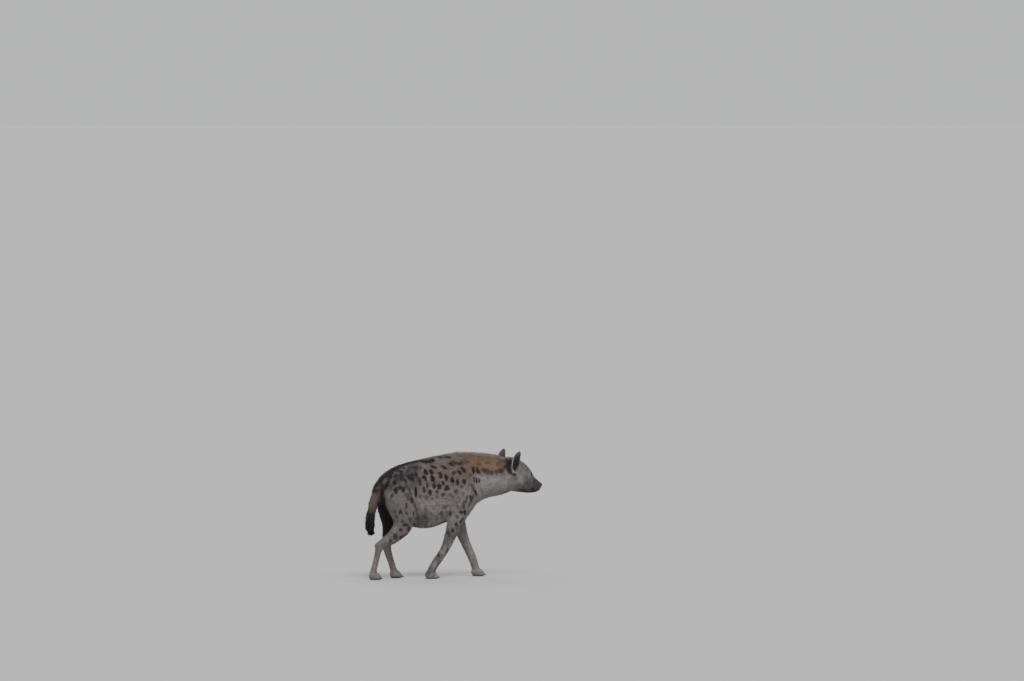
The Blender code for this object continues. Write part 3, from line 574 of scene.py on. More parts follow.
def lie_of_coat(points, labels):
    """The way the hair lies at each point, before it is blended and laid on the skin."""
    lie = np.tile((-1.0, 0.0, -0.30), (len(points), 1))
    x, y, z = points.T
    low_flank = smooth_step(z, 0.50, 0.40) * smooth_step(x, -0.34, -0.28) * smooth_step(x, 0.02, -0.06)
    trunk = is_part(labels, "trunk")
    shoulder = smooth_step(x, -0.07, 0.00) * smooth_step(z, 0.72, 0.60)
    haunch = smooth_step(x, -0.30, -0.38) * smooth_step(z, 0.70, 0.58)
    lie[trunk] += (low_flank[:, None] * np.array((1.15, 0.0, -0.75)))[trunk]
    lie[trunk] += (shoulder[:, None] * np.array((0.45, 0.0, -0.60)))[trunk]
    lie[trunk] += (haunch[:, None] * np.array((0.45, 0.0, -0.60)))[trunk]
    neck = is_part(labels, "neck")
    crest = smooth_step(z, 0.700, 0.755) * smooth_step(np.abs(y), 0.060, 0.030)
    throat = smooth_step(z, 0.66, 0.56)
    lie[neck] = np.array((-1.0, 0.0, -0.42))
    lie[neck] += (crest[:, None] * np.array((0.0, 0.0, 0.55)))[neck]
    lie[neck] += (throat[:, None] * np.array((0.30, 0.0, -0.45)))[neck]
    head = is_part(labels, "head")
    local = to_head(points)
    turn = np.array(HEAD_TURN)
    back = np.stack([-np.ones(len(points)), np.sign(local[:, 1]) * 0.15, -0.10 - smooth_step(local[:, 2], 0.0, -0.06) * 0.25], axis=1)
    lie[head] = (back @ turn.T)[head]
    for side in SIDES:
        for parts in (FORE_PARTS, HIND_PARTS):
            leg = is_part(labels, *(f"{part}_{side}" for part in parts))
            lie[leg] = downwards(points[leg])
            paw = is_part(labels, f"{parts[2]}_{side}")
            onto_toes = smooth_step(z, 0.075, 0.035)[:, None] * np.array((1.1, 0.0, 0.45))
            lie[paw] += onto_toes[paw]
    tail = is_part(labels, "tail", "tail_tuft")
    lie[tail] = downwards(points[tail])
    low_tail = smooth_step(z[tail], 0.375, 0.300)[:, None]
    places, centres = middle_line(points[tail], z[tail])
    inwards = on_line(places, centres, z[tail]) - points[tail]
    inwards[:, 2] = 0.0
    lie[tail] += inwards * low_tail * 22.0
    straight_in = inwards / np.maximum(np.linalg.norm(inwards, axis=1, keepdims=True), 1e-4)
    lie[tail] += straight_in * smooth_step(z[tail], 0.390, 0.325)[:, None] * 0.32
    for name in EAR_NODES:
        lie[is_part(labels, name)] = np.array(ear_axes(name)[1])
    return lie / np.linalg.norm(lie, axis=1, keepdims=True)


def downwards(points):
    """The way down a limb at each of its points, along its middle line."""
    places, centres = middle_line(points, points[:, 2])
    slope = np.gradient(centres, places, axis=0)
    way = -on_line(places, slope, points[:, 2])
    way[:, 2] = -1.0
    return way


def fitted_hair(points, hair, local, head, ears):
    """Longer hair on crest, flanks and cheeks, and shorter towards the nose."""
    x, y, z = points.T
    ahead, left, above = local.T
    crest = smooth_step(z, 0.690, 0.760) * smooth_step(np.abs(y), 0.085, 0.030) * smooth_step(x, -0.20, 0.02)
    crest = crest * smooth_step(x, 0.40, 0.33)
    hair[:, 1] += 0.0075 * crest
    hair[:, 2] += 0.0220 * crest
    flank = smooth_step(z, 0.47, 0.37) * smooth_step(x, -0.36, -0.28) * smooth_step(x, 0.00, -0.08)
    hair[:, 2] += 0.0120 * flank * (z > 0.28)
    hair[:, 1] += 0.0020 * flank * (z > 0.28)
    seat = smooth_step(x, -0.42, -0.50) * smooth_step(z, 0.34, 0.42) * (np.abs(y) < 0.12)
    hair[:, 2] += 0.0100 * seat
    muzzle = smooth_step(ahead, 0.085, 0.170) * head
    hair[:, 1] = hair[:, 1] * (1 - 0.62 * muzzle)
    hair[:, 2] = hair[:, 2] * (1 - 0.52 * muzzle)
    hair[:, 3] = hair[:, 3] * (1 - 0.35 * muzzle)
    cheek = smooth_step(ahead, 0.03, -0.05) * head
    hair[:, 1] += 0.0030 * cheek
    hair[:, 2] += 0.0090 * cheek
    lids = [np.linalg.norm(points - np.array(ball_centre(f"eye_{side}")), axis=1) for side in SIDES]
    lids = smooth_step(np.min(lids, axis=0), 0.036, 0.018)
    hair[:, 1] = hair[:, 1] * (1 - 0.72 * lids)
    hair[:, 2] = hair[:, 2] * (1 - 0.50 * lids)
    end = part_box("tail_tuft")[0].z
    left_below = np.maximum(0.96 * (z - end) + 0.010, 0.014)
    hair[:, 2] = np.where(x < TAIL_FRONT, np.minimum(hair[:, 2], left_below), hair[:, 2])
    end_depth = 0.0020 + 0.15 * np.maximum(z - end, 0.0)
    hair[:, 1] = np.where(x < TAIL_FRONT, np.minimum(hair[:, 1], end_depth), hair[:, 1])
    hair[:, 1:] = np.maximum(hair[:, 1:], (0.0006, 0.0030, 0.0010))
    return hair


def thinned_tail(points, labels, share):
    """Draws the tail's skin in towards its middle line, as its hair is most of its width."""
    for name, keep in (("tail", 1.0), ("tail_tuft", 0.62)):
        chosen = is_part(labels, name)
        places, centres = middle_line(points[chosen], points[chosen][:, 2])
        middle = on_line(places, centres, points[chosen][:, 2])
        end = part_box("tail_tuft")[0].z
        left = np.interp(points[chosen][:, 2] - end, (0.0, 0.035, 0.090), (0.10, 0.35 * keep + 0.1, keep))
        scale = 1 - (1 - left) * share[chosen]
        points[chosen] = middle + (points[chosen] - middle) * scale[:, None]
    return points


def shaped_folds(points, normals, labels):
    """Raises and sinks the skin along the body's folds, on both sides."""
    side_on = points[:, (0, 2)]
    move = np.zeros(len(points))
    facing = smooth_step(np.abs(normals[:, 1]), 0.15, 0.55)
    for fold in FOLDS:
        away, along = segment_distance(side_on, fold.start, fold.end)
        ends = smooth_step(along, -0.05, 0.25) * smooth_step(along, 1.05, 0.75)
        move += fold.height * np.exp(-((away / fold.width) ** 2)) * ends * facing
    move *= ~is_part(labels, "head", "ear", "fore_paw", "hind_paw")
    return points + normals * move[:, None]


def shaped_face(points, normals, head):
    """Brows, cheekbones, the hollow before each eye, and the line of the mouth."""
    local = to_head(points)
    local[:, 1] = np.abs(local[:, 1])
    move = np.zeros(len(points))
    for bump in FACE_BUMPS:
        away = np.linalg.norm(local - np.array((bump.ahead, bump.aside, bump.above)), axis=1)
        move += bump.height * np.exp(-((away / bump.width) ** 2))
    lips = path_distance(local, MOUTH)
    move -= MOUTH_DEPTH * np.exp(-((lips / MOUTH_WIDTH) ** 2))
    move += 0.0016 * np.exp(-(((lips - 0.0052) / 0.0030) ** 2))
    chin = smooth_step(local[:, 2], -0.034, -0.044) * smooth_step(local[:, 0], 0.14, 0.19)
    move -= 0.0022 * chin
    middle = np.exp(-((local[:, 1] / 0.0018) ** 2)) * smooth_step(local[:, 0], 0.195, 0.207)
    move -= 0.0020 * middle * smooth_step(local[:, 2], 0.006, -0.004)
    return points + normals * (move * head)[:, None]


def shaped_toes(points, normals, labels):
    """Grooves between the toes, and flat soles."""
    for pair in ("fore", "hind"):
        for side in SIDES:
            tips = [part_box(f"claw_{pair}_{side}_{k}")[1] for k in range(1, 5)]
            middles = [(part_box(f"claw_{pair}_{side}_{k}")[0].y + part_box(f"claw_{pair}_{side}_{k}")[1].y) / 2
                       for k in range(1, 5)]
            paw = is_part(labels, f"{pair}_paw_{side}")
            front = max(tip.x for tip in tips)
            for middle, tip in zip(middles, tips):
                across = np.exp(-(((points[:, 1] - middle) / 0.0060) ** 2))
                knuckle = np.exp(-(((points[:, 0] - tip.x + 0.036) / 0.011) ** 2))
                top = smooth_step(points[:, 2], 0.012, 0.022)
                points = points + normals * (0.0024 * across * knuckle * top * paw)[:, None]
            for near, far in zip(middles, middles[1:]):
                across = points[:, 1] - (near + far) / 2
                reach = smooth_step(points[:, 0], front - 0.062, front - 0.046)
                groove = 0.0066 * np.exp(-((across / 0.0028) ** 2)) * reach * paw
                points = points - normals * groove[:, None]
    points[:, 2] = np.maximum(points[:, 2], 0.0004)
    return points


def hollowed_ears(points, labels):
    """Clears the head's flesh out of each ear's cup, and counts the cup's floor as part of the ear."""
    for name in EAR_NODES:
        foot, up, opening, across = (np.array(v) for v in ear_axes(name))
        away = points - foot
        rise = away @ up / EAR_HEIGHT
        height = np.clip(rise, 0.0, 1.0)
        width, shift = ear_width(height)
        reach = np.abs((away @ across - shift) / (width - 0.003))
        depth = -(away @ opening)
        bowl = EAR_CUP_DEPTH * (1 - 0.80 * height ** 1.2) * (1 - np.minimum(reach, 1.0) ** 2.2)
        wall = bowl * smooth_step(rise, -0.02, 0.16)
        inside = smooth_step(reach, 1.0, 0.80) * smooth_step(depth, -0.014, -0.003) * (rise > 0) * (rise < 0.75)
        push = np.maximum(wall - depth, 0.0) * inside
        points = points - np.outer(push, opening)
        floor = (inside > 0.3) & (depth < wall + 0.003)
        labels = np.where(floor, FLESH_NODES.index(name), labels)
    return points, labels


def shaped_lids(points, name):
    """Wraps the skin over an eyeball and leaves the gap between its lids."""
    centre = np.array(ball_centre(name))
    out, corner, up = (np.array(axis) for axis in eye_axes(name))
    away = points - centre
    radius = np.linalg.norm(away, axis=1)
    near = radius < 0.030
    unit = away[near] / radius[near][:, None]
    forward = unit @ out
    across = np.arctan2(unit @ corner, forward)
    rise = np.arctan2(unit @ up, forward)
    bend = 0.10 * np.sin(across * 1.4)
    half = 1.06
    open_up = 0.60 * np.sqrt(np.clip(1 - (np.abs(across) / half) ** 2.2, 0, 1))
    open_down = 0.45 * np.sqrt(np.clip(1 - (np.abs(across) / half) ** 1.8, 0, 1))
    gap = np.where(rise - bend > 0, (rise - bend) / np.maximum(open_up, 1e-3), (bend - rise) / np.maximum(open_down, 1e-3))
    gap = np.where((forward < 0.2) | (np.abs(across) > half), 9.0, gap)
    lid = EYE_RADIUS + 0.0017 + 0.0010 * np.exp(-(((gap - 1.25) / 0.22) ** 2))
    crease = 0.0010 * np.exp(-(((gap - 1.85) / 0.16) ** 2)) * (rise > bend)
    covered = np.maximum(radius[near], lid) - crease
    sunk = np.minimum(radius[near], EYE_RADIUS - 0.0022)
    target = np.where(gap < 1.0, sunk, covered)
    reach = smooth_step(radius[near], 0.030, 0.021)
    target = radius[near] + (target - radius[near]) * np.where(gap < 1.0, 1.0, reach)
    target = np.where(forward < 0.0, radius[near], target)
    points[near] = centre + unit * target[:, None]
    return points


def ball_centre(name):
    """The middle of the eyeball, a little deeper than the plain one."""
    return eye_centre(name) - eye_axes(name)[0] * EYE_SUNK


def near_eyes(points, reach):
    away = [np.linalg.norm(points - np.array(ball_centre(f"eye_{side}")), axis=1) for side in SIDES]
    return np.min(away, axis=0) < reach


def near_toes(points):
    """Whether points are on the front part of a paw."""
    near = np.zeros(len(points), bool)
    for pair in ("fore", "hind"):
        for side in SIDES:
            boxes = [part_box(f"claw_{pair}_{side}_{k}") for k in range(1, 5)]
            front = max(high.x for low, high in boxes)
            left, right = max(high.y for low, high in boxes), min(low.y for low, high in boxes)
            near |= (
                (points[:, 0] > front - 0.062) & (points[:, 0] < front + 0.01) & (points[:, 2] < 0.055)
                & (points[:, 1] < left + 0.03) & (points[:, 1] > right - 0.03)
            )
    return near


def make_skin(settings):
    """Builds the skin's mesh and the fields that the coat grows by."""
    mesh = blended_skin(settings.square)
    surface = Surface(mesh)
    labels = nearest_parts(surface.points)
    soft = surface.relaxed(hair_of(labels)[:, :1], 12)
    eyes = near_eyes(surface.points, 0.020)
    soft[eyes] = 0.9
    surface.points = surface.relaxed(surface.points, SKIN_PASSES, 0.5 * soft)
    surface.write()

    local = to_head(surface.points)
    face = (local[:, 0] > 0.085) & is_part(labels, "head")
    toes = near_toes(surface.points) & is_part(labels, "fore_paw", "hind_paw")
    mesh = refined(mesh, face | toes | near_eyes(surface.points, 0.034))
    surface = Surface(mesh)
    local = to_head(surface.points)
    mirrored = np.stack([local[:, 0], np.abs(local[:, 1]), local[:, 2]], axis=1)
    fine = near_eyes(surface.points, 0.024) | (path_distance(mirrored, MOUTH) < 0.007)
    mesh = refined(mesh, fine)
    surface = Surface(mesh)
    labels = nearest_parts(surface.points)
    head = surface.relaxed(is_part(labels, "head")[:, None].astype(float), 12)[:, 0]
    local = to_head(surface.points)
    surface.points = surface.relaxed(surface.points, 4, 0.5 * smooth_step(local[:, 0], 0.05, 0.09) * (head > 0.5))

    surface.points, labels = hollowed_ears(surface.points, labels)
    surface.points = surface.relaxed(surface.points, 3, 0.4 * is_part(labels, "ear"))

    hair = hair_of(labels)
    ears = is_part(labels, "ear")
    kept = surface.relaxed(hair.copy(), FIELD_PASSES)
    hair = np.where(ears[:, None], surface.relaxed(hair, 6), kept)
    hair = fitted_hair(surface.points, hair, local, head, ears)
    tuft = surface.relaxed(is_part(labels, "tail_tuft")[:, None].astype(float), 16)[:, 0]
    inset = hair[:, 1] * (1 - 0.75 * tuft)
    soles = smooth_step(surface.points[:, 2], 0.003, 0.010)
    surface.points = surface.points - surface.normals() * (inset * soles)[:, None]
    surface.points = thinned_tail(surface.points, labels, tuft)
    surface.points = surface.relaxed(surface.points, 3, 0.25 * (tuft + 0.3))

    surface.points = shaped_folds(surface.points, surface.normals(), labels)
    surface.points = shaped_face(surface.points, surface.normals(), head)
    surface.points = shaped_toes(surface.points, surface.normals(), labels)
    for side in SIDES:
        surface.points = shaped_lids(surface.points, f"eye_{side}")

    lie = surface.relaxed(lie_of_coat(surface.points, labels), FIELD_PASSES)
    normals = surface.normals()
    flat = 1 - 0.85 * is_part(labels, "tail", "tail_tuft")
    lie = lie - normals * (flat * np.sum(lie * normals, axis=1))[:, None]
    lie = lie / np.maximum(np.linalg.norm(lie, axis=1, keepdims=True), 1e-6)
    made.update(mesh=mesh, surface=surface, labels=labels, hair=hair, lie=lie, normals=normals, head=head)
    return mesh


def camera_place(stage):
    """The camera's matrix: it looks at the animal's right side, turned from square by the heading."""
    heading, down = stage.heading, stage.pitch_down
    level = Vector((math.sin(heading), math.cos(heading), 0.0))
    right = Vector((math.cos(heading), -math.sin(heading), 0.0))
    spot = BODY_MIDDLE - level * stage.distance + right * stage.aside
    spot.z = stage.height
    forward = level * math.cos(down) - Vector((0, 0, 1)) * math.sin(down)
    return Matrix.Translation(spot) @ forward.to_track_quat("-Z", "Y").to_matrix().to_4x4()


def photo_line(stage, place):
    """The camera's place and the way it looks through a pixel of the photograph."""
    matrix = camera_place(stage)
    pixels = stage.lens / SENSOR_WIDTH * PHOTO_WIDTH
    across = (place[0] - PHOTO_WIDTH / 2) / pixels
    down = (place[1] - PHOTO_HEIGHT / 2) / pixels
    way = matrix.to_3x3() @ Vector((across, -down, -1.0))
    return matrix.translation, way.normalized()


PlacedSpot = namedtuple("PlacedSpot", "centre across tall outward half_wide half_tall strength")
PlacedStroke = namedtuple("PlacedStroke", "path half_wide strength")


def place_marks(stage):
    """Finds where the photograph's marks lie on the skin's right side, and gives the left side its like."""
    tree = skin_tree()
    chance = np.random.default_rng(7)
    spots, strokes, pale_strokes = [], [], []
    for group in SPOTS:
        for place in group.places:
            hit, normal, _, _ = tree.ray_cast(*photo_line(stage, place))
            if hit is None:
                raise RuntimeError(f"no skin lies behind the mark at {place}")
            spots.append(laid_spot(hit, normal, group, 1.0))
            shift = Vector((chance.uniform(-1, 1), 0.0, chance.uniform(-1, 1))) * LEFT_SHIFT
            mirrored = Vector((hit.x, -hit.y, hit.z)) + shift
            there, outward, _, _ = tree.find_nearest(mirrored)
            spots.append(laid_spot(there, outward, group, 1 + chance.uniform(-1, 1) * LEFT_SIZE))
    for group, laid in ((STROKES, strokes), (PALE_STROKES, pale_strokes)):
        for stroke in group:
            path = []
            for place in stroke.places:
                hit, _, _, _ = tree.ray_cast(*photo_line(stage, place))
                if hit is None:
                    hit = nearest_on_line(tree, *photo_line(stage, place))
                path.append(hit)
            laid.append(PlacedStroke(path, stroke.wide / 2, stroke.strength))
            other = [tree.find_nearest(Vector((p.x + 0.006, -p.y, p.z)))[0] for p in path]
            laid.append(PlacedStroke(other, stroke.wide / 2, stroke.strength))
    made["spots"], made["strokes"], made["pale_strokes"] = spots, strokes, pale_strokes
    made["head_strokes"] = []
    for stroke in HEAD_STROKES:
        path = [tree.ray_cast(*photo_line(stage, place))[0] for place in stroke.places]
        other = []
        for point in path:
            local = HEAD_TURN.transposed() @ (point - HEAD_CENTRE)
            other.append(tree.find_nearest(from_head((local.x, -local.y, local.z)))[0])
        for line in (path, other):
            made["head_strokes"].append(PlacedStroke(line, stroke.wide / 2, stroke.strength))


def nearest_on_line(tree, start, way):
    """The skin's nearest place to a line that just misses it."""
    best, least = None, 9.0
    for step in range(120):
        point = start + way * (52.6 + 0.012 * step)
        place, _, _, away = tree.find_nearest(point)
        if away < least:
            best, least = place, away
    return best


def laid_spot(place, outward, group, scale):
    """A spot's own axes on the skin: up it, leaning by its angle, and across it."""
    lean = math.radians(group.lean)
    upright = Vector((math.sin(lean), 0.0, math.cos(lean)))
    tall = (upright - outward * upright.dot(outward)).normalized()
    across = outward.cross(tall)
    scale = scale * SPOT_GROWTH / 2
    return PlacedSpot(place, across, tall, outward, group.wide * scale, group.tall * scale, group.strength)


def skin_tree():
    """A tree of the skin's faces, for finding where a line meets it."""
    shape = bmesh.new()
    shape.from_mesh(made["mesh"])
    tree = BVHTree.FromBMesh(shape)
    shape.free()
    return tree


def spots_at(points):
    """How dark the spots and strokes make each point, from 0 to 1; some of the strokes are painted shade."""
    dark = np.zeros(len(points))
    edge = 0.24 * ripple(points, 0.021, 1.0) + 0.15 * ripple(points, 0.010, 4.0)
    broken = 0.40 + 0.60 * smooth_step(ripple(points, 0.030, 12.0), -0.80, -0.20)
    for spot in made["spots"]:
        near = np.nonzero(np.abs(points[:, 0] - spot.centre.x) < MARK_REACH / 2)[0]
        away = points[near] - np.array(spot.centre)
        wide = away @ np.array(spot.across) / spot.half_wide
        tall = away @ np.array(spot.tall) / spot.half_tall
        depth = np.abs(away @ np.array(spot.outward))
        reach = np.sqrt(wide ** 2 + tall ** 2) + edge[near]
        shade = smooth_step(reach, 1.30, 0.80) * spot.strength * (depth < 0.035)
        dark[near] = np.maximum(dark[near], shade)
    for stroke in made["strokes"]:
        reach = path_distance(points, stroke.path) / stroke.half_wide + edge * 1.5
        gaps = broken if stroke.strength < 1 else np.maximum(broken, 0.85)
        dark = np.maximum(dark, smooth_step(reach, 1.35, 0.60) * stroke.strength * gaps)
    return dark


def zones_at_skin():
    """The broad colours of the coat at each of the skin's points: warm, pale and black shares, the black with painted
    shade on legs, inner thighs and soles.
    """
    points, labels, head = made["surface"].points, made["labels"], made["head"]
    surface = made["surface"]
    x, y, z = points.T
    wave = 0.012 * ripple(points, 0.060, 3.0)
    line = np.interp(x, (-0.24, -0.12, 0.02, 0.08, 0.36), (0.775, 0.752, 0.702, 0.664, 0.645))
    back = smooth_step(z - line + wave, -0.012, 0.022) * smooth_step(x, -0.26, -0.12)
    ahead, left, above = to_head(points).T
    mirrored = np.stack([ahead, np.abs(left), above], axis=1)
    withers = smooth_step(x, 0.10, 0.02) * smooth_step(x, -0.25, -0.10) * back
    warm = back * (1 + 0.22 * ripple(points, 0.034, 6.6)) * (1 - 0.50 * smooth_step(x, 0.33, 0.40)) * (1 - 0.8 * head) * (1 - 0.45 * withers)

    throat = smooth_step(x, 0.085, 0.135) * smooth_step(z - line, 0.0, -0.030) * (1 - head)
    throat = throat * (0.72 + 0.22 * smooth_step(z, 0.56, 0.62)) * (0.92 + 0.22 * ripple(points, 0.045, 7.7))
    belly = smooth_step(z, 0.51, 0.42) * smooth_step(x, -0.30, -0.24) * smooth_step(x, 0.02, -0.05)
    streaks = streaks_at(points)
    cheek = head * smooth_step(ahead, 0.10, 0.02) * smooth_step(above, 0.03, -0.03)
    side = smooth_step(z, 0.69, 0.60) * smooth_step(x, -0.30, -0.20) * (1 - head) * is_part(labels, "trunk", "upper_arm")
    pale = 0.85 * throat + belly * (0.30 + 0.95 * streaks) + 0.42 * cheek + 0.16 * streaks * (1 - head)
    pale = pale + 0.24 * surface.relaxed(side[:, None], 12)[:, 0]

    lock = np.zeros(len(points))
    for stroke in made["pale_strokes"]:
        reach = path_distance(points, stroke.path) / stroke.half_wide
        here = smooth_step(reach + 0.3 * ripple(points, 0.02, 5.0), 1.35, 0.55) * stroke.strength
        lock = np.maximum(lock, here)
    pale = np.maximum(pale, lock)

    tail_parts = is_part(labels, "tail", "tail_tuft")
    tail = surface.relaxed(tail_parts[:, None].astype(float), 8)[:, 0]
    warm = np.maximum(warm, 0.75 * tail)
    black = tail * (0.40 + 0.60 * smooth_step(z + wave, 0.462, 0.436))
    black = np.maximum(black, 0.55 * belly * np.maximum(-streaks, 0) * (1 - lock))
    rump = smooth_step(z, 0.550, 0.610) * smooth_step(x, -0.22, -0.28) * (1 - tail)
    black = np.maximum(black, rump * np.clip(0.55 + 0.42 * ripple(points, 0.036, 4.4), 0, 1))
    upper_flank = smooth_step(z, 0.555, 0.605) * smooth_step(x, -0.27, -0.20) * smooth_step(x, 0.14, 0.06) * (1 - back)
    black = np.maximum(black, 0.17 * upper_flank * (1 + 0.8 * ripple(points, 0.040, 9.0)))
    warm = np.maximum(warm, 0.38 * upper_flank * (1 + 0.6 * ripple(points, 0.050, 3.5)))
    thigh = surface.relaxed(is_part(labels, "thigh")[:, None].astype(float), 16)[:, 0]
    black = np.maximum(black, 0.10 * thigh * (1 + 0.8 * ripple(points, 0.040, 9.0)))
    black = np.maximum(black, 0.84 * head * smooth_step(ahead + 0.5 * wave, 0.085, 0.145))
    nose_end = head * smooth_step(ahead, 0.165, 0.205)
    black = np.maximum(black, 0.90 * nose_end)
    mouth_line = np.interp(ahead, (0.128, 0.160, 0.186, 0.204), (-0.027, -0.031, -0.029, -0.019))
    lower_lip = head * smooth_step(ahead, 0.125, 0.155) * smooth_step(above - mouth_line, 0.002, -0.006)
    black = np.maximum(black, 0.94 * lower_lip)
    lower_face = head * smooth_step(ahead, 0.02, 0.09) * smooth_step(above, -0.012, -0.056)
    black = np.maximum(black, 0.46 * lower_face)
    crown = head * smooth_step(above, 0.020, 0.060) * smooth_step(ahead, -0.04, 0.05)
    black = np.maximum(black, 0.26 * crown)
    jaw = head * smooth_step(ahead, 0.05, 0.11) * smooth_step(above, -0.040, -0.066)
    black = np.maximum(black, 0.82 * jaw)
    for stroke in made["head_strokes"]:
        reach = path_distance(points, stroke.path) / stroke.half_wide + 5 * wave
        soft = 0.30 + 0.60 * (stroke.strength < 0.6)
        shade = smooth_step(reach, 0.95 + soft, 0.95 - soft) * stroke.strength
        shade = shade * (0.40 + 0.60 * smooth_step(np.abs(left), 0.014, 0.052))
        black = np.maximum(black, shade * ~is_part(labels, "ear"))
    lips = np.exp(-((path_distance(mirrored, MOUTH) / LIP_SHADE_WIDTH) ** 2))
    black = np.maximum(black, 0.97 * lips * head)
    eyes = np.min([
        np.linalg.norm(points - np.array(ball_centre(f"eye_{side}")), axis=1) for side in SIDES
    ], axis=0)
    eyes = eyes + 0.0014 * ripple(points, 0.012, 5.0)
    black = np.maximum(black, 0.95 * smooth_step(eyes, 0.0208, 0.0150))
    tear = path_distance(mirrored, EYE_CORNER_MARK) / 0.0065
    black = np.maximum(black, 0.70 * smooth_step(tear, 1.3, 0.5) * head)

    underside = np.interp(x, (-0.34, -0.26, -0.16, -0.06, 0.03), (0.350, 0.320, 0.322, 0.350, 0.388))
    low_belly = smooth_step(z - underside, 0.040, 0.012) * smooth_step(x, -0.34, -0.29) * smooth_step(x, 0.06, 0.0)
    low_belly = low_belly * is_part(labels, "trunk")
    black = np.maximum(black, 0.70 * low_belly)
    warm = np.maximum(warm, 0.55 * low_belly)
    black = black * (1 - 0.8 * lock)
    # Painted shade on the legs, strongest towards the paws; the far legs get much less of it, as they already stand in
    # shade.
    leg = surface.relaxed(is_part(labels, *FORE_PARTS)[:, None].astype(float), 16)[:, 0]
    far_leg = 0.10 + 0.50 * smooth_step(z, 0.20, 0.10)
    leg = leg * np.where(y < 0, 1.0, far_leg) * (1 + 0.5 * ripple(points, 0.045, 8.0))
    black = np.maximum(black, leg * np.interp(z, (0.02, 0.08, 0.26, 0.40), (0.40, 0.50, 0.40, 0.20)))
    hind_leg = surface.relaxed(is_part(labels, "shank", "hind_paw")[:, None].astype(float), 16)[:, 0]
    black = np.maximum(black, np.where(y < 0, 0.16, 0.02) * hind_leg * (1 + ripple(points, 0.045, 2.0)))
    # Painted shade: the insides of the thighs, between the hind legs, are made near black, over a wider band on the far
    # side.
    wider = np.where(y > 0, 0.030, 0.0)
    painted_thigh_shade = smooth_step(np.abs(y) - wider, 0.095, 0.060) * smooth_step(z, 0.20, 0.28) * smooth_step(z, 0.56, 0.46)
    black = np.maximum(black, 0.95 * painted_thigh_shade * smooth_step(x, -0.33, -0.37) * (1 - tail))
    # Painted shade: the skin lowest down, round the soles where they meet the floor, is darkened.
    toes = smooth_step(z, 0.016, 0.005)
    black = np.maximum(black, 0.55 * toes)
    for name in EAR_NODES:
        warm, pale, black = ear_colours(name, points, labels, warm, pale, black)
    return np.clip(np.stack([warm, pale, black], axis=1), 0.0, 1.0)


def streaks_at(points):
    """Long hair parted in streaks down the flanks, from -1 to 1."""
    x, y, z = points.T
    across = 0.944 * x + 0.33 * z + 0.9 * (z - 0.42) ** 2
    along = 0.33 * x - 0.944 * z
    laid = np.stack([across / 0.030, along / 0.150, np.sign(y) * 3.0], axis=1)
    return ripple(laid, 1.0, 2.5) + 0.5 * ripple(laid, 0.45, 6.0)


def ear_colours(name, points, labels, warm, pale, black):
    """Black backs, dark cups, and a pale rim behind."""
    foot, up, opening, across = (np.array(v) for v in ear_axes(name))
    chosen = is_part(labels, name)
    away = points[chosen] - foot
    rise = np.clip(away @ up / EAR_HEIGHT, 0.0, 1.0)
    width, shift = ear_width(rise)
    reach = (away @ across - shift) / np.maximum(width, 0.01)
    outer = (made["normals"][chosen] @ opening) < 0
    middle = np.interp(rise, (0.10, 0.32, 0.60, 1.00), (0.46, 0.30, 0.20, 0.14))
    half = 0.70 * np.sqrt(smooth_step(rise, 0.05, 0.44))
    edge = 0.05 * ripple(points[chosen], 0.012, 5.0)
    inside = smooth_step(np.abs(reach - middle) + edge, half + 0.08, half - 0.10)
    behind = smooth_step(reach + edge, -0.30, -0.58)
    rim = np.where(outer, behind, 1 - inside) * smooth_step(rise, 0.90, 0.66)
    front = smooth_step(reach, 0.30, 0.60)
    dark = np.where(outer, 0.84 - 0.26 * rise, 0.98 - 0.30 * smooth_step(rise, 0.70, 0.95))
    black[chosen] = dark * (1 - rim * (1 - 0.25 * front))
    pale[chosen] = 0.95 * rim * (1 - 0.65 * front)
    warm[chosen] = np.maximum(0.25 * outer, 0.25 * smooth_step(rise, 0.70, 0.95))
    return warm, pale, black


def triangles_of(mesh):
    mesh.calc_loop_triangles()
    return read(mesh.loop_triangles, "vertices", 3, np.int64)


def roots_of(piece, triangles, chance, fullness):
    """Where a coat piece's tufts grow: skin triangles and shares of their corners."""
    surface, labels = made["surface"], made["labels"]
    wanted = is_part(labels, *piece.parts)[triangles].sum(axis=1) >= 2
    middle = surface.points[triangles].mean(axis=1)
    if piece.side:
        left = to_head(middle)[:, 1] if "head" in piece.parts else middle[:, 1]
        wanted &= left * piece.side >= 0
    wanted &= (middle[:, 0] >= piece.ends[0]) & (middle[:, 0] < piece.ends[1])
    wanted &= ~bare_skin(middle)
    chosen = triangles[wanted]
    a, b, c = (surface.points[chosen[:, k]] for k in range(3))
    area = np.linalg.norm(np.cross(b - a, c - a), axis=1) / 2
    hair = made["hair"][chosen].mean(axis=1)
    crowd = area / (hair[:, 2] * hair[:, 3])
    total = np.cumsum(crowd)
    count = int(min(piece.tufts, MOST_FACES // faces_per_tuft(piece.rings)) * fullness)
    steps = (np.arange(count) + chance.uniform(0, 1, count)) / count * total[-1]
    rows = chosen[np.minimum(np.searchsorted(total, steps), len(chosen) - 1)]
    first, second = chance.uniform(0, 1, count), chance.uniform(0, 1, count)
    folded = first + second > 1
    first[folded], second[folded] = 1 - first[folded], 1 - second[folded]
    shares = np.stack([1 - first - second, first, second], axis=1)
    return rows, shares


def bare_skin(points):
    """Where no hair grows: the nose, the eyeballs and the lids' edges, and the soles."""
    ahead, left, above = to_head(points).T
    nose = (ahead > NOSE_AHEAD - 0.006) & (above > NOSE_ABOVE - 0.017) & (np.abs(left) < 0.024)
    return nose | near_eyes(points, EYE_RADIUS + 0.0031) | (points[:, 2] < 0.004)


def faces_per_tuft(rings):
    return 1 + 6 * (rings - 1) + 3


def blended(values, rows, shares):
    """Values of the skin's points, mixed at each root."""
    return np.einsum("nk,nkd->nd", shares, values[rows])


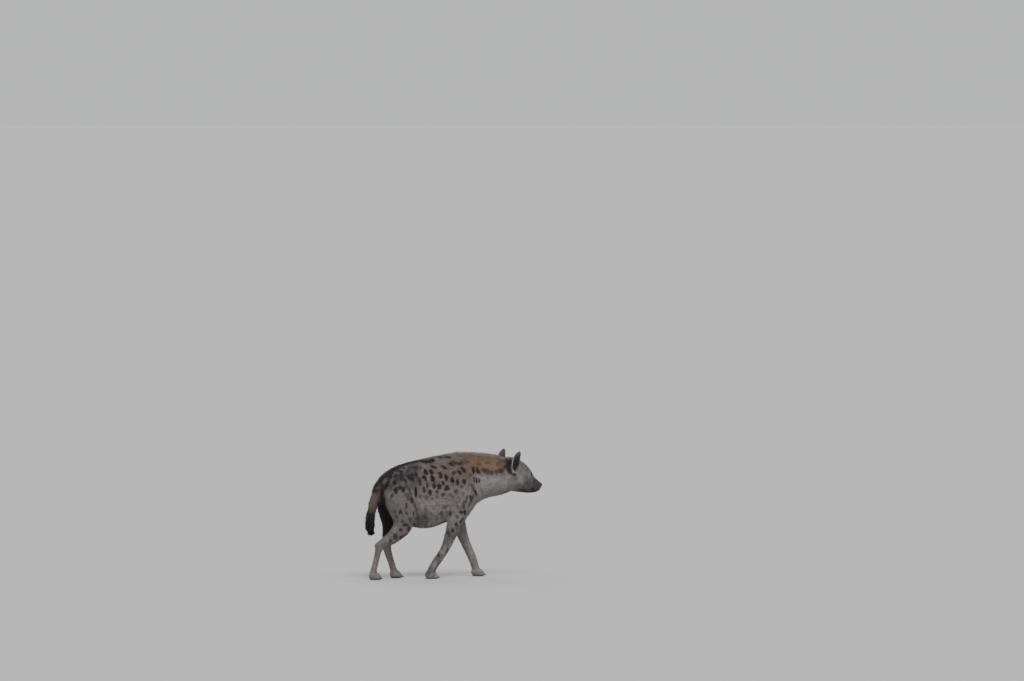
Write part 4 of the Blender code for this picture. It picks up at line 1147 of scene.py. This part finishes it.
def unrolled(piece, roots):
    """Each root's place on the part's own surface, unrolled round its middle line into a unit square."""
    along = roots[:, 0] if piece.axis == "x" else roots[:, 2]
    places, centres = middle_line(roots, along, 0.03)
    away = roots - on_line(places, centres, along)
    around = np.arctan2(away[:, 1], away[:, 2] if piece.axis == "x" else away[:, 0])
    square = np.stack([along, around], axis=1)
    low, high = square.min(axis=0), square.max(axis=0)
    return 0.004 + (square - low) / (high - low) * (0.992 - PATCH)


def tufts(piece, triangles, settings, seed):
    """One coat piece: closed tapered tufts along the lie of the coat, as one mesh."""
    chance = np.random.default_rng(seed)
    rows, shares = roots_of(piece, triangles, chance, settings.fullness)
    surface = made["surface"]
    root = blended(surface.points, rows, shares)
    normal = blended(made["normals"], rows, shares)
    normal /= np.linalg.norm(normal, axis=1, keepdims=True)
    lie = blended(made["lie"], rows, shares)
    keep = 0.15 if "tail" in piece.name else 1.0
    lie -= normal * (keep * np.sum(lie * normal, axis=1))[:, None]
    lie /= np.maximum(np.linalg.norm(lie, axis=1, keepdims=True), 1e-6)
    _, depth, length, width = blended(made["hair"], rows, shares).T
    zones = blended(made["zones"], rows, shares)
    count = len(root)

    sway = 0.30 * ripple(root, 0.045, 2.0) + 0.20 * ripple(root, 0.017, 5.0) + chance.normal(0, 0.10, count)
    side = np.cross(normal, lie)
    lie = lie * np.cos(sway)[:, None] + side * np.sin(sway)[:, None]
    side = np.cross(normal, lie)
    length = length * settings.length_share * (1 + 0.18 * ripple(root, 0.030, 8.0) + chance.uniform(-0.22, 0.22, count))
    lift = depth * (0.86 + 0.22 * ripple(root, 0.020, 6.0) + chance.uniform(-0.20, 0.20, count))
    lift += depth * 0.55 * (chance.uniform(0, 1, count) > 0.96)
    width = width * chance.uniform(0.75, 1.25, count)
    curl = chance.normal(0, 0.07, count) + 0.10 * ripple(root, 0.026, 9.0)

    shares_along = np.linspace(0, 1, piece.rings + 1)[:-1] ** 0.9
    around = np.array(((1.0, 0.0), (0.0, 0.50), (-1.0, 0.0)))
    points = np.empty((count, 3 * piece.rings + 1, 3))
    strand = np.empty((count, 3 * piece.rings + 1))
    for ring, share in enumerate(list(shares_along) + [1.0]):
        rise = 1 - (1 - share) ** 2
        middle = root + lie * (length * share)[:, None] + normal * (lift * rise - 0.0012 * (1 - share))[:, None]
        middle = middle + side * (curl * length * share ** 2)[:, None]
        if share == 1.0:
            points[:, -1] = middle
            strand[:, -1] = 1.0
            continue
        half = width / 2 * (1 - 0.25 * share - 0.35 * share ** 2)
        for corner, (across, up) in enumerate(around):
            offset = side * (half * across)[:, None] + normal * (half * up)[:, None]
            points[:, 3 * ring + corner] = middle + offset
            strand[:, 3 * ring + corner] = share
    points[:, :, 2] = np.maximum(points[:, :, 2], 0.0004)
    shown = root + lie * (length * 0.62)[:, None]
    dark = spots_at(shown)
    crest = smooth_step(length, 0.034, 0.042) * smooth_step(normal[:, 2], 0.35, 0.85) * zones[:, 0]
    zones[:, 1] += 0.45 * crest * (chance.uniform(0, 1, count) > 0.45)
    marks = np.clip(np.concatenate([dark[:, None], zones], axis=1), 0.0, 1.0)
    mesh = tuft_mesh(piece, points, strand, marks, chance, unrolled(piece, root), normal)
    return mesh


def tuft_mesh(piece, points, strand, marks, chance, places, normal):
    """Joins tufts into a mesh with their marks, their shading and their bake map."""
    count, corners = strand.shape
    pattern = [(2, 1, 0)]
    for ring in range(piece.rings - 1):
        for k in range(3):
            a, b = 3 * ring + k, 3 * ring + (k + 1) % 3
            pattern += [(a, b, b + 3), (a, b + 3, a + 3)]
    last = 3 * (piece.rings - 1)
    pattern += [(last + k, last + (k + 1) % 3, corners - 1) for k in range(3)]
    pattern = np.array(pattern)
    faces = (np.arange(count)[:, None, None] * corners + pattern).reshape(-1, 3)

    mesh = bpy.data.meshes.new(piece.name)
    mesh.vertices.add(count * corners)
    mesh.vertices.foreach_set("co", points.astype(np.float32).ravel())
    mesh.loops.add(faces.size)
    mesh.loops.foreach_set("vertex_index", faces.astype(np.int32).ravel())
    mesh.polygons.add(len(faces))
    mesh.polygons.foreach_set("loop_start", np.arange(0, faces.size, 3, dtype=np.int32))
    mesh.polygons.foreach_set("use_smooth", np.ones(len(faces), bool))
    mesh.update(calc_edges=True)

    add_colours(mesh, "marks", np.repeat(marks, corners, axis=0))
    clump = 0.5 + 0.42 * ripple(points[:, 0], 0.016, 7.0)
    tint = np.stack([np.clip(clump + chance.normal(0, 0.24, count), 0, 1), chance.uniform(0, 1, count)], axis=1)
    tint = np.repeat(tint, corners, axis=0)
    look = np.concatenate([strand.reshape(-1, 1), tint, np.ones((count * corners, 1))], axis=1)
    add_colours(mesh, "strand", look)
    spread = np.stack([strand, np.tile((np.arange(corners) % 3) / 2, (count, 1))], axis=2) * PATCH
    squares = (places[:, None, :] + spread).reshape(-1, 2)
    bake_map = mesh.uv_layers.new(name="OFBake")
    bake_map.data.foreach_set("uv", squares[faces.ravel()].astype(np.float32).ravel())

    own = read(mesh.vertex_normals, "vector", 3).reshape(count, corners, 3)
    soft = 0.55 * own + 0.45 * normal[:, None, :]
    soft /= np.linalg.norm(soft, axis=2, keepdims=True)
    mesh.normals_split_custom_set_from_vertices(soft.reshape(-1, 3).astype(np.float32))
    return mesh


def add_colours(mesh, name, values):
    layer = mesh.color_attributes.new(name=name, type="FLOAT_COLOR", domain="POINT")
    layer.data.foreach_set("color", values.astype(np.float32).ravel())


def node(tree, kind, **settings):
    made_node = tree.nodes.new(kind)
    for name, value in settings.items():
        setattr(made_node, name, value)
    return made_node


def mixed(tree, share, first, second, kind="MIX"):
    """A colour mix: first where share is 0, second where it is 1. Each may be a socket or a value."""
    mix = node(tree, "ShaderNodeMix", data_type="RGBA", blend_type=kind)
    for socket, value in ((mix.inputs[0], share), (mix.inputs[6], first), (mix.inputs[7], second)):
        if isinstance(value, bpy.types.NodeSocket):
            tree.links.new(value, socket)
        else:
            socket.default_value = value
    return mix.outputs[2]


def calculated(tree, operation, *values):
    step = node(tree, "ShaderNodeMath", operation=operation)
    for socket, value in zip(step.inputs, values):
        if isinstance(value, bpy.types.NodeSocket):
            tree.links.new(value, socket)
        else:
            socket.default_value = value
    return step.outputs[0]


def new_group(name, inputs, outputs):
    """A shader node group with named sockets, and its input and output nodes."""
    group = bpy.data.node_groups.new(name, "ShaderNodeTree")
    for label, kind, value in inputs:
        socket = group.interface.new_socket(name=label, in_out="INPUT", socket_type=kind)
        if value is not None:
            socket.default_value = value
    for label, kind in outputs:
        group.interface.new_socket(name=label, in_out="OUTPUT", socket_type=kind)
    return group, node(group, "NodeGroupInput"), node(group, "NodeGroupOutput")


def coat_colour_group():
    """The colour of hair or of the skin beneath it, from the marks painted on it, darkened towards the roots as painted
    shade.
    """
    found = bpy.data.node_groups.get("coat colour")
    if found:
        return found
    colours = bpy.context.scene.hyena_colours
    group, given, result = new_group(
        "coat colour",
        (
            ("Spot", "NodeSocketFloat", 0.0), ("Warm", "NodeSocketFloat", 0.0), ("Pale", "NodeSocketFloat", 0.0),
            ("Black", "NodeSocketFloat", 0.0), ("Along", "NodeSocketFloat", 0.6), ("Tint", "NodeSocketFloat", 0.5),
            ("Root Shade", "NodeSocketFloat", 0.5),
            ("Ground Colour", "NodeSocketColor", (*colours.ground, 1.0)),
            ("Mane Colour", "NodeSocketColor", (*colours.mane, 1.0)),
            ("Pale Colour", "NodeSocketColor", (*colours.pale, 1.0)),
            ("Spot Colour", "NodeSocketColor", (*colours.spot, 1.0)),
            ("Black Colour", "NodeSocketColor", (*colours.black, 1.0)),
        ),
        (("Color", "NodeSocketColor"), ("Sheen", "NodeSocketFloat")),
    )
    place = node(group, "ShaderNodeTexCoord")
    patches = node(group, "ShaderNodeTexNoise")
    patches.inputs["Scale"].default_value = 26.0
    patches.inputs["Detail"].default_value = 4.0
    group.links.new(place.outputs["Object"], patches.inputs["Vector"])
    drift = node(group, "ShaderNodeMapRange")
    drift.inputs["From Min"].default_value = 0.35
    drift.inputs["From Max"].default_value = 0.65
    drift.inputs["To Min"].default_value = 0.90
    drift.inputs["To Max"].default_value = 1.10
    group.links.new(patches.outputs["Fac"], drift.inputs["Value"])
    colour = mixed(group, given.outputs["Warm"], given.outputs["Ground Colour"], given.outputs["Mane Colour"])
    colour = mixed(group, given.outputs["Pale"], colour, given.outputs["Pale Colour"])
    tint = calculated(group, "MULTIPLY_ADD", given.outputs["Tint"], 0.60, 0.72)
    tint = calculated(group, "MULTIPLY", tint, drift.outputs["Result"])
    # Painted shade: hair darkens towards its root by the root shade, as deep in the coat.
    tip = calculated(group, "POWER", given.outputs["Along"], 0.8)
    shade = calculated(group, "SUBTRACT", 1.0, given.outputs["Root Shade"])
    shade = calculated(group, "MULTIPLY_ADD", tip, given.outputs["Root Shade"], shade)
    brightness = calculated(group, "MULTIPLY", tint, shade)
    grey = node(group, "ShaderNodeCombineColor")
    for name in ("Red", "Green", "Blue"):
        group.links.new(brightness, grey.inputs[name])
    colour = mixed(group, 1.0, colour, grey.outputs[0], "MULTIPLY")
    colour = mixed(group, given.outputs["Spot"], colour, given.outputs["Spot Colour"])
    colour = mixed(group, given.outputs["Black"], colour, given.outputs["Black Colour"])
    group.links.new(colour, result.inputs["Color"])
    sheen = calculated(group, "MULTIPLY_ADD", given.outputs["Tint"], 0.16, 0.62)
    group.links.new(sheen, result.inputs["Sheen"])
    return group


def grain_group():
    """Fine bumps of two sizes, for short hair lying flat and for bare skin."""
    found = bpy.data.node_groups.get("fine grain")
    if found:
        return found
    group, given, result = new_group(
        "fine grain",
        (("Scale", "NodeSocketFloat", 300.0), ("Stretch", "NodeSocketVector", (1.0, 1.0, 1.0))),
        (("Height", "NodeSocketFloat"), ("Mask", "NodeSocketFloat")),
    )
    place = node(group, "ShaderNodeTexCoord")
    squeeze = node(group, "ShaderNodeVectorMath", operation="MULTIPLY")
    group.links.new(place.outputs["Object"], squeeze.inputs[0])
    group.links.new(given.outputs["Stretch"], squeeze.inputs[1])
    fine = node(group, "ShaderNodeTexNoise")
    fine.inputs["Detail"].default_value = 5.0
    fine.inputs["Roughness"].default_value = 0.62
    cells = node(group, "ShaderNodeTexVoronoi", feature="F1")
    for texture in (fine, cells):
        group.links.new(squeeze.outputs[0], texture.inputs["Vector"])
        group.links.new(given.outputs["Scale"], texture.inputs["Scale"])
    height = calculated(group, "MULTIPLY_ADD", cells.outputs["Distance"], -0.5, fine.outputs["Fac"])
    group.links.new(height, result.inputs["Height"])
    group.links.new(fine.outputs["Fac"], result.inputs["Mask"])
    return group


def shaded(name, roughness, specular):
    """A new material with its Principled shader, its even values set on the shader itself."""
    finish = bpy.data.materials.new(name)
    finish.use_nodes = True
    shader = finish.node_tree.nodes["Principled BSDF"]
    shader.inputs["Roughness"].default_value = roughness
    shader.inputs["Specular IOR Level"].default_value = specular
    shader.inputs["Metallic"].default_value = 0.0
    return finish, finish.node_tree, shader


def coat_finish(name, root_shade, on_skin):
    """Hair, or the skin under it, coloured by the marks painted on the mesh."""
    found = bpy.data.materials.get(name)
    if found:
        return found
    finish, tree, shader = shaded(name, 0.7, 0.22)
    shader.inputs["Sheen Weight"].default_value = 0.10
    shader.inputs["Sheen Roughness"].default_value = 0.5
    marks = node(tree, "ShaderNodeAttribute", attribute_name="marks")
    parts = node(tree, "ShaderNodeSeparateColor")
    tree.links.new(marks.outputs["Color"], parts.inputs[0])
    colour = node(tree, "ShaderNodeGroup", node_tree=coat_colour_group())
    for source, target in (("Red", "Spot"), ("Green", "Warm"), ("Blue", "Pale")):
        tree.links.new(parts.outputs[source], colour.inputs[target])
    tree.links.new(marks.outputs["Alpha"], colour.inputs["Black"])
    colour.inputs["Root Shade"].default_value = root_shade
    tree.links.new(colour.outputs["Color"], shader.inputs["Base Color"])
    tree.links.new(colour.outputs["Sheen"], shader.inputs["Roughness"])
    if on_skin:
        grain = node(tree, "ShaderNodeGroup", node_tree=grain_group())
        grain.inputs["Scale"].default_value = 420.0
        bump = node(tree, "ShaderNodeBump")
        bump.inputs["Strength"].default_value = 0.7
        bump.inputs["Distance"].default_value = 0.0012
        tree.links.new(grain.outputs["Height"], bump.inputs["Height"])
        tree.links.new(bump.outputs["Normal"], shader.inputs["Normal"])
    strand = node(tree, "ShaderNodeAttribute", attribute_name="strand")
    split = node(tree, "ShaderNodeSeparateColor")
    tree.links.new(strand.outputs["Color"], split.inputs[0])
    tree.links.new(split.outputs["Red"], colour.inputs["Along"])
    tree.links.new(split.outputs["Green"], colour.inputs["Tint"])
    return finish


def leather_finish():
    """The nose's moist black skin, pebbled."""
    finish, tree, shader = shaded("nose leather", 0.42, 0.5)
    colours = bpy.context.scene.hyena_colours
    shader.inputs["Coat Weight"].default_value = 0.10
    shader.inputs["Coat Roughness"].default_value = 0.30
    grain = node(tree, "ShaderNodeGroup", node_tree=grain_group())
    grain.inputs["Scale"].default_value = 620.0
    colour = mixed(tree, grain.outputs["Mask"], (*(c * 0.6 for c in colours.nose), 1.0), (*colours.nose, 1.0))
    tree.links.new(colour, shader.inputs["Base Color"])
    rough = calculated(tree, "MULTIPLY_ADD", grain.outputs["Mask"], 0.25, 0.30)
    tree.links.new(rough, shader.inputs["Roughness"])
    bump = node(tree, "ShaderNodeBump")
    bump.inputs["Strength"].default_value = 0.8
    bump.inputs["Distance"].default_value = 0.0009
    tree.links.new(grain.outputs["Height"], bump.inputs["Height"])
    tree.links.new(bump.outputs["Normal"], shader.inputs["Normal"])
    return finish


def horn_finish():
    """Dull worn horn, paler towards the tip, streaked along its length."""
    finish, tree, shader = shaded("claw horn", 0.45, 0.4)
    colours = bpy.context.scene.hyena_colours
    grain = node(tree, "ShaderNodeGroup", node_tree=grain_group())
    grain.inputs["Scale"].default_value = 500.0
    grain.inputs["Stretch"].default_value = (0.25, 1.6, 1.6)
    strand = node(tree, "ShaderNodeAttribute", attribute_name="strand")
    split = node(tree, "ShaderNodeSeparateColor")
    tree.links.new(strand.outputs["Color"], split.inputs[0])
    base = mixed(tree, split.outputs["Red"], (*colours.claw, 1.0), (*(min(c * 2.6, 1.0) for c in colours.claw), 1.0))
    streaks = mixed(tree, grain.outputs["Mask"], base, (*(c * 0.5 for c in colours.claw), 1.0))
    tree.links.new(streaks, shader.inputs["Base Color"])
    bump = node(tree, "ShaderNodeBump")
    bump.inputs["Strength"].default_value = 0.4
    bump.inputs["Distance"].default_value = 0.0005
    tree.links.new(grain.outputs["Height"], bump.inputs["Height"])
    tree.links.new(bump.outputs["Normal"], shader.inputs["Normal"])
    return finish


def eye_finish():
    """A wet eye: black pupil, brown iris with fine rays, and a dark rim."""
    finish, tree, shader = shaded("wet eye", 0.08, 0.12)
    colours = bpy.context.scene.hyena_colours
    shader.inputs["Coat Weight"].default_value = 0.28
    shader.inputs["Coat Roughness"].default_value = 0.02
    strand = node(tree, "ShaderNodeAttribute", attribute_name="strand")
    split = node(tree, "ShaderNodeSeparateColor")
    tree.links.new(strand.outputs["Color"], split.inputs[0])
    rays = node(tree, "ShaderNodeTexNoise")
    rays.inputs["Scale"].default_value = 900.0
    spread = calculated(tree, "MULTIPLY_ADD", rays.outputs["Fac"], 0.05, split.outputs["Red"])
    ramp = node(tree, "ShaderNodeValToRGB")
    stops = (
        (0.00, (0.002, 0.002, 0.002, 1.0)), (0.22, (0.003, 0.002, 0.002, 1.0)),
        (0.27, (*(c * 0.8 for c in colours.iris), 1.0)), (0.45, (*colours.iris, 1.0)),
        (0.56, (*(c * 0.35 for c in colours.iris), 1.0)), (0.62, (0.008, 0.006, 0.005, 1.0)),
        (0.80, (0.050, 0.036, 0.030, 1.0)),
    )
    for index, (place, colour) in enumerate(stops):
        stop = ramp.color_ramp.elements[index] if index < 2 else ramp.color_ramp.elements.new(place)
        stop.position = place
        stop.color = colour
    tree.links.new(spread, ramp.inputs["Fac"])
    tree.links.new(ramp.outputs["Color"], shader.inputs["Base Color"])
    return finish


def make_eye(name, finish):
    """An eyeball with a low clear bulge, its iris told by rings round the way it looks."""
    out, corner, up = eye_axes(name)
    centre = ball_centre(name)
    shape = bmesh.new()
    bmesh.ops.create_uvsphere(shape, u_segments=48, v_segments=40, radius=1.0)
    turn = Matrix((corner, up, out)).transposed()
    rings = []
    for vert in shape.verts:
        angle = math.acos(max(-1.0, min(1.0, vert.co.z)))
        bulge = 1 + 0.055 * math.exp(-((angle / 0.42) ** 4))
        rings.append(angle / (math.pi / 2))
        vert.co = centre + turn @ (vert.co * EYE_RADIUS * bulge)
    bmesh.ops.recalc_face_normals(shape, faces=shape.faces)
    mesh = bpy.data.meshes.new(name)
    shape.to_mesh(mesh)
    shape.free()
    mesh.shade_smooth()
    values = np.ones((len(rings), 4))
    values[:, 0] = np.clip(rings, 0, 1)
    add_colours(mesh, "strand", values)
    ball = new_object("eyeball_" + name.split("_")[1], mesh, finish)
    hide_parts(name)
    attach(ball, "root")


def make_nose(finish):
    """The nose pad: broad, flat in front, with round nostrils that run out to a slit, and a groove between."""
    shape = bmesh.new()
    bmesh.ops.create_uvsphere(shape, u_segments=96, v_segments=64, radius=1.0)
    flat = Matrix.Rotation(math.pi / 2, 3, "Y")
    half = Vector((0.0172, 0.0238, 0.0168))
    for vert in shape.verts:
        unit = flat @ vert.co
        ahead, left, above = (math.copysign(abs(v) ** 0.82, v) for v in unit)
        size = Vector((ahead, left, above)).length
        ahead, left, above = ahead / size ** 0.55, left / size ** 0.55, above / size ** 0.55
        point = Vector((ahead * half.x, left * half.y, above * half.z))
        front = max(unit.x, 0.0) ** 0.5
        point.x -= 0.0022 * front * (abs(point.y) / half.y) ** 2
        beside = abs(point.y)
        hole = math.hypot((beside - 0.0105) / 0.0056, (point.z - 0.0005) / 0.0050)
        inward = 0.0085 * max(0.0, min(1.0, (1.15 - hole) / 0.45)) * front
        slit_x = max(0.0, min(1.0, (beside - 0.012) / 0.009))
        slit = abs(point.z - 0.0005 + 0.0035 * slit_x) / 0.0019
        along = 1.0 if 0.011 < beside < 0.0205 else 0.0
        inward = max(inward, 0.0045 * max(0.0, 1 - slit ** 2) * along)
        rim = 0.0011 * math.exp(-(((hole - 1.45) / 0.28) ** 2)) * front
        groove = 0.0024 * math.exp(-((point.y / 0.0014) ** 2)) * (1.0 if point.z < 0.008 else 0.4) * front
        point.x -= inward + groove - rim
        vert.co = from_head((NOSE_AHEAD + point.x, point.y, NOSE_ABOVE + point.z))
    bmesh.ops.recalc_face_normals(shape, faces=shape.faces)
    mesh = bpy.data.meshes.new("nose_pad")
    shape.to_mesh(mesh)
    shape.free()
    mesh.shade_smooth()
    pad = new_object("nose_pad", mesh, finish)
    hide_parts("nose")
    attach(pad, "root")


def make_claws(pair, side, finish):
    """The four blunt, curved claws of one paw, as one mesh."""
    rings, sides = 9, 14
    shape = bmesh.new()
    along = []
    for number in range(1, 5):
        low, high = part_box(f"claw_{pair}_{side}_{number}")
        tip = Vector((high.x, (low.y + high.y) / 2, low.z + 0.0012))
        rows = []
        for i in range(rings):
            share = i / (rings - 1)
            radius = 0.0060 * (1 - 0.74 * share ** 1.7)
            middle = tip + Vector((-0.024 * (1 - share), 0.0, 0.0105 * (1 - share) ** 1.6 * (1 - 0.25 * share)))
            row = []
            for k in range(sides):
                angle = 2 * math.pi * k / sides
                under = 0.70 if math.sin(angle) < 0 else 1.0
                point = middle + Vector((0.0, math.cos(angle) * radius * 0.62, math.sin(angle) * radius * under))
                row.append(shape.verts.new(point))
                along.append(share)
            rows.append(row)
        for lower, upper in zip(rows, rows[1:]):
            for k in range(sides):
                shape.faces.new((lower[k], lower[(k + 1) % sides], upper[(k + 1) % sides], upper[k]))
        shape.faces.new(rows[0][::-1])
        shape.faces.new(rows[-1])
    bmesh.ops.recalc_face_normals(shape, faces=shape.faces)
    mesh = bpy.data.meshes.new(f"claws_{pair}_{side}")
    shape.to_mesh(mesh)
    shape.free()
    mesh.shade_smooth()
    values = np.ones((len(along), 4))
    values[:, 0] = along
    add_colours(mesh, "strand", values)
    claws = new_object(f"claws_{pair}_{side}", mesh, finish)
    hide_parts(*(f"claw_{pair}_{side}_{k}" for k in range(1, 5)))
    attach(claws, "root")


class HYENA_PG_stage(bpy.types.PropertyGroup):
    """The studio and the camera."""

    lens: bpy.props.FloatProperty(name="Lens", description="Focal length of the camera in millimetres", default=300.0)
    distance: bpy.props.FloatProperty(
        name="Distance", description="How far off the camera stands", default=53.3, unit="LENGTH")
    height: bpy.props.FloatProperty(
        name="Height", description="How high the camera stands", default=2.98, unit="LENGTH")
    aside: bpy.props.FloatProperty(
        name="Aside", description="How far the camera stands to the right of the animal", default=0.356, unit="LENGTH")
    heading: bpy.props.FloatProperty(
        name="Heading", description="How far the walk is turned away from the camera", default=math.radians(22),
        subtype="ANGLE")
    pitch_down: bpy.props.FloatProperty(
        name="Pitch down", description="How far the camera looks down", default=math.radians(1.61), subtype="ANGLE")
    key: bpy.props.FloatProperty(name="Key light", description="Strength of the main soft light", default=2.3)
    fill: bpy.props.FloatProperty(name="Fill light", description="Strength of the light from behind", default=0.9)
    sky: bpy.props.FloatProperty(name="Surround", description="Strength of the even light all round", default=0.67)
    floor: bpy.props.FloatVectorProperty(
        name="Floor", description="Colour of the floor", default=(0.475, 0.470, 0.465), subtype="COLOR", size=3)


class HYENA_PG_skin(bpy.types.PropertyGroup):
    """The skin's mesh."""

    square: bpy.props.FloatProperty(
        name="Square size", description="Size of the skin's squares before the face is made finer", default=0.0042,
        unit="LENGTH")


class HYENA_PG_coat(bpy.types.PropertyGroup):
    """The coat's tufts."""

    fullness: bpy.props.FloatProperty(
        name="Fullness", description="Share of the most tufts that each piece may hold", default=1.0, min=0.05, max=1.0)
    length_share: bpy.props.FloatProperty(
        name="Length", description="Length of every tuft, as a share of its natural one", default=1.0, min=0.3, max=1.5)
    seed: bpy.props.IntProperty(name="Seed", description="Which of the possible coats is grown", default=11)


class HYENA_PG_colours(bpy.types.PropertyGroup):
    """The colours of the animal."""

    ground: bpy.props.FloatVectorProperty(
        name="Ground", description="Grey-tan of flanks and legs", default=(0.229, 0.199, 0.193), subtype="COLOR", size=3)
    mane: bpy.props.FloatVectorProperty(
        name="Mane", description="Orange-brown of neck and withers", default=(0.250, 0.158, 0.108), subtype="COLOR",
        size=3)
    pale: bpy.props.FloatVectorProperty(
        name="Pale", description="Cream-grey of throat and belly", default=(0.383, 0.350, 0.336), subtype="COLOR", size=3)
    # The spot colour also fills the strokes painted as shade beside the tail, before the thighs and under a pale lock.
    spot: bpy.props.FloatVectorProperty(
        name="Spots", description="Dark brown of the spots", default=(0.024, 0.018, 0.019), subtype="COLOR", size=3)
    # The black colour also darkens the painted shade on the legs, the insides of the thighs and round the soles.
    black: bpy.props.FloatVectorProperty(
        name="Black", description="Brown-black of muzzle, ears and tail tuft", default=(0.016, 0.014, 0.018),
        subtype="COLOR", size=3)
    nose: bpy.props.FloatVectorProperty(
        name="Nose", description="Black of the nose", default=(0.010, 0.009, 0.009), subtype="COLOR", size=3)
    claw: bpy.props.FloatVectorProperty(
        name="Claws", description="Horn of the claws", default=(0.055, 0.044, 0.037), subtype="COLOR", size=3)
    iris: bpy.props.FloatVectorProperty(
        name="Iris", description="Brown of the eyes", default=(0.034, 0.019, 0.011), subtype="COLOR", size=3)


class HYENA_OT_stage(bpy.types.Operator):
    """Makes the camera at the photograph's place, the pale floor and the soft studio light"""

    bl_idname = "hyena.stage"
    bl_label = "Studio"

    def execute(self, context):
        stage = context.scene.hyena_stage
        camera = bpy.data.objects.new("camera", bpy.data.cameras.new("camera"))
        context.scene.collection.objects.link(camera)
        camera.data.lens = stage.lens
        camera.data.sensor_width = SENSOR_WIDTH
        camera.data.clip_start = 1.0
        camera.data.clip_end = 2000.0
        camera.matrix_world = camera_place(stage)
        context.scene.camera = camera

        shape = bmesh.new()
        bmesh.ops.create_grid(shape, x_segments=1, y_segments=1, size=900.0)
        mesh = bpy.data.meshes.new("studio_floor")
        shape.to_mesh(mesh)
        shape.free()
        finish, _, shader = shaded("studio floor", 0.9, 0.2)
        shader.inputs["Base Color"].default_value = (*stage.floor, 1.0)
        new_object("studio_floor", mesh, finish)

        for name, strength, spread, turn in (
            ("key_light", stage.key, 28.0, (38.0, -14.0, 12.0)),
            ("fill_light", stage.fill, 50.0, (-48.0, 20.0, 0.0)),
        ):
            lamp = bpy.data.lights.new(name, "SUN")
            lamp.energy = strength
            lamp.angle = math.radians(spread)
            light = bpy.data.objects.new(name, lamp)
            light.rotation_euler = [math.radians(v) for v in turn]
            context.scene.collection.objects.link(light)
        world = bpy.data.worlds.new("studio")
        world.use_nodes = True
        background = world.node_tree.nodes["Background"]
        background.inputs["Color"].default_value = (0.97, 0.98, 1.0, 1.0)
        background.inputs["Strength"].default_value = stage.sky
        context.scene.world = world
        return {"FINISHED"}


class HYENA_OT_skin(bpy.types.Operator):
    """Draws one skin over the parts of flesh, shapes its face, folds and toes, and paints its markings"""

    bl_idname = "hyena.skin"
    bl_label = "Skin"

    def execute(self, context):
        mesh = make_skin(context.scene.hyena_skin)
        stage = context.scene.hyena_stage
        place_marks(stage)
        made["zones"] = zones_at_skin()
        dark = spots_at(made["surface"].points)
        add_colours(mesh, "marks", np.concatenate([dark[:, None], made["zones"]], axis=1))
        length = made["hair"][:, 2]
        look = np.ones((len(length), 4))
        # Painted shade: the skin is darker under long hair than under short, as deep in the coat.
        look[:, 0] = np.interp(length, (0.004, 0.020), (0.85, 0.30))
        look[:, 1] = 0.5 + 0.3 * ripple(made["surface"].points, 0.016, 7.0)
        add_colours(mesh, "strand", look)
        mesh.name = "skin"
        mesh.shade_smooth()
        skin = new_object("skin", mesh, coat_finish("skin under the coat", 0.45, True))
        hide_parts(*FLESH_NODES)
        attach(skin, "root")
        return {"FINISHED"}


class HYENA_OT_eyes(bpy.types.Operator):
    """Sets a wet eyeball behind each pair of lids"""

    bl_idname = "hyena.eyes"
    bl_label = "Eyes"

    def execute(self, context):
        finish = eye_finish()
        for side in SIDES:
            make_eye(f"eye_{side}", finish)
        return {"FINISHED"}


class HYENA_OT_nose(bpy.types.Operator):
    """Models the nose pad with its nostrils"""

    bl_idname = "hyena.nose"
    bl_label = "Nose"

    def execute(self, context):
        make_nose(leather_finish())
        return {"FINISHED"}


class HYENA_OT_claws(bpy.types.Operator):
    """Models the four claws of each paw"""

    bl_idname = "hyena.claws"
    bl_label = "Claws"

    def execute(self, context):
        finish = horn_finish()
        for pair in ("fore", "hind"):
            for side in SIDES:
                make_claws(pair, side, finish)
        return {"FINISHED"}


class HYENA_OT_coat(bpy.types.Operator):
    """Grows the coat's tufts from the skin, piece by piece"""

    bl_idname = "hyena.coat"
    bl_label = "Coat"

    def execute(self, context):
        if "surface" not in made:
            raise RuntimeError("the coat grows on the skin, so the skin comes first")
        settings = context.scene.hyena_coat
        triangles = triangles_of(made["mesh"])
        finish = coat_finish("coat hair", 0.55, False)
        for number, piece in enumerate(COAT_PIECES):
            mesh = tufts(piece, triangles, settings, settings.seed + number)
            coat = new_object(piece.name, mesh, finish)
            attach(coat, "root")
        return {"FINISHED"}


class HYENA_PT_panel(bpy.types.Panel):
    """Lists what makes up the hyena"""

    bl_idname = "HYENA_PT_panel"
    bl_label = "Spotted Hyena"
    bl_space_type = "VIEW_3D"
    bl_region_type = "UI"
    bl_category = "Hyena"

    def draw(self, context):
        scene = context.scene
        for operator in STEPS:
            self.layout.operator(operator.bl_idname)
        for group in (scene.hyena_stage, scene.hyena_skin, scene.hyena_coat, scene.hyena_colours):
            box = self.layout.box()
            for name in group.bl_rna.properties.keys():
                if name not in ("rna_type", "name"):
                    box.prop(group, name)


GROUPS = {
    "hyena_stage": HYENA_PG_stage,
    "hyena_skin": HYENA_PG_skin,
    "hyena_coat": HYENA_PG_coat,
    "hyena_colours": HYENA_PG_colours,
}
STEPS = (HYENA_OT_stage, HYENA_OT_skin, HYENA_OT_eyes, HYENA_OT_nose, HYENA_OT_claws, HYENA_OT_coat)


def register():
    for kind in (*GROUPS.values(), *STEPS, HYENA_PT_panel):
        bpy.utils.register_class(kind)
    for name, kind in GROUPS.items():
        setattr(bpy.types.Scene, name, bpy.props.PointerProperty(type=kind))


def unregister():
    for name in GROUPS:
        delattr(bpy.types.Scene, name)
    for kind in reversed((*GROUPS.values(), *STEPS, HYENA_PT_panel)):
        bpy.utils.unregister_class(kind)


def main():
    register()
    bpy.ops.hyena.stage()
    bpy.ops.hyena.skin()
    bpy.ops.hyena.eyes()
    bpy.ops.hyena.nose()
    bpy.ops.hyena.claws()
    bpy.ops.hyena.coat()


if __name__ == "__main__":
    main()
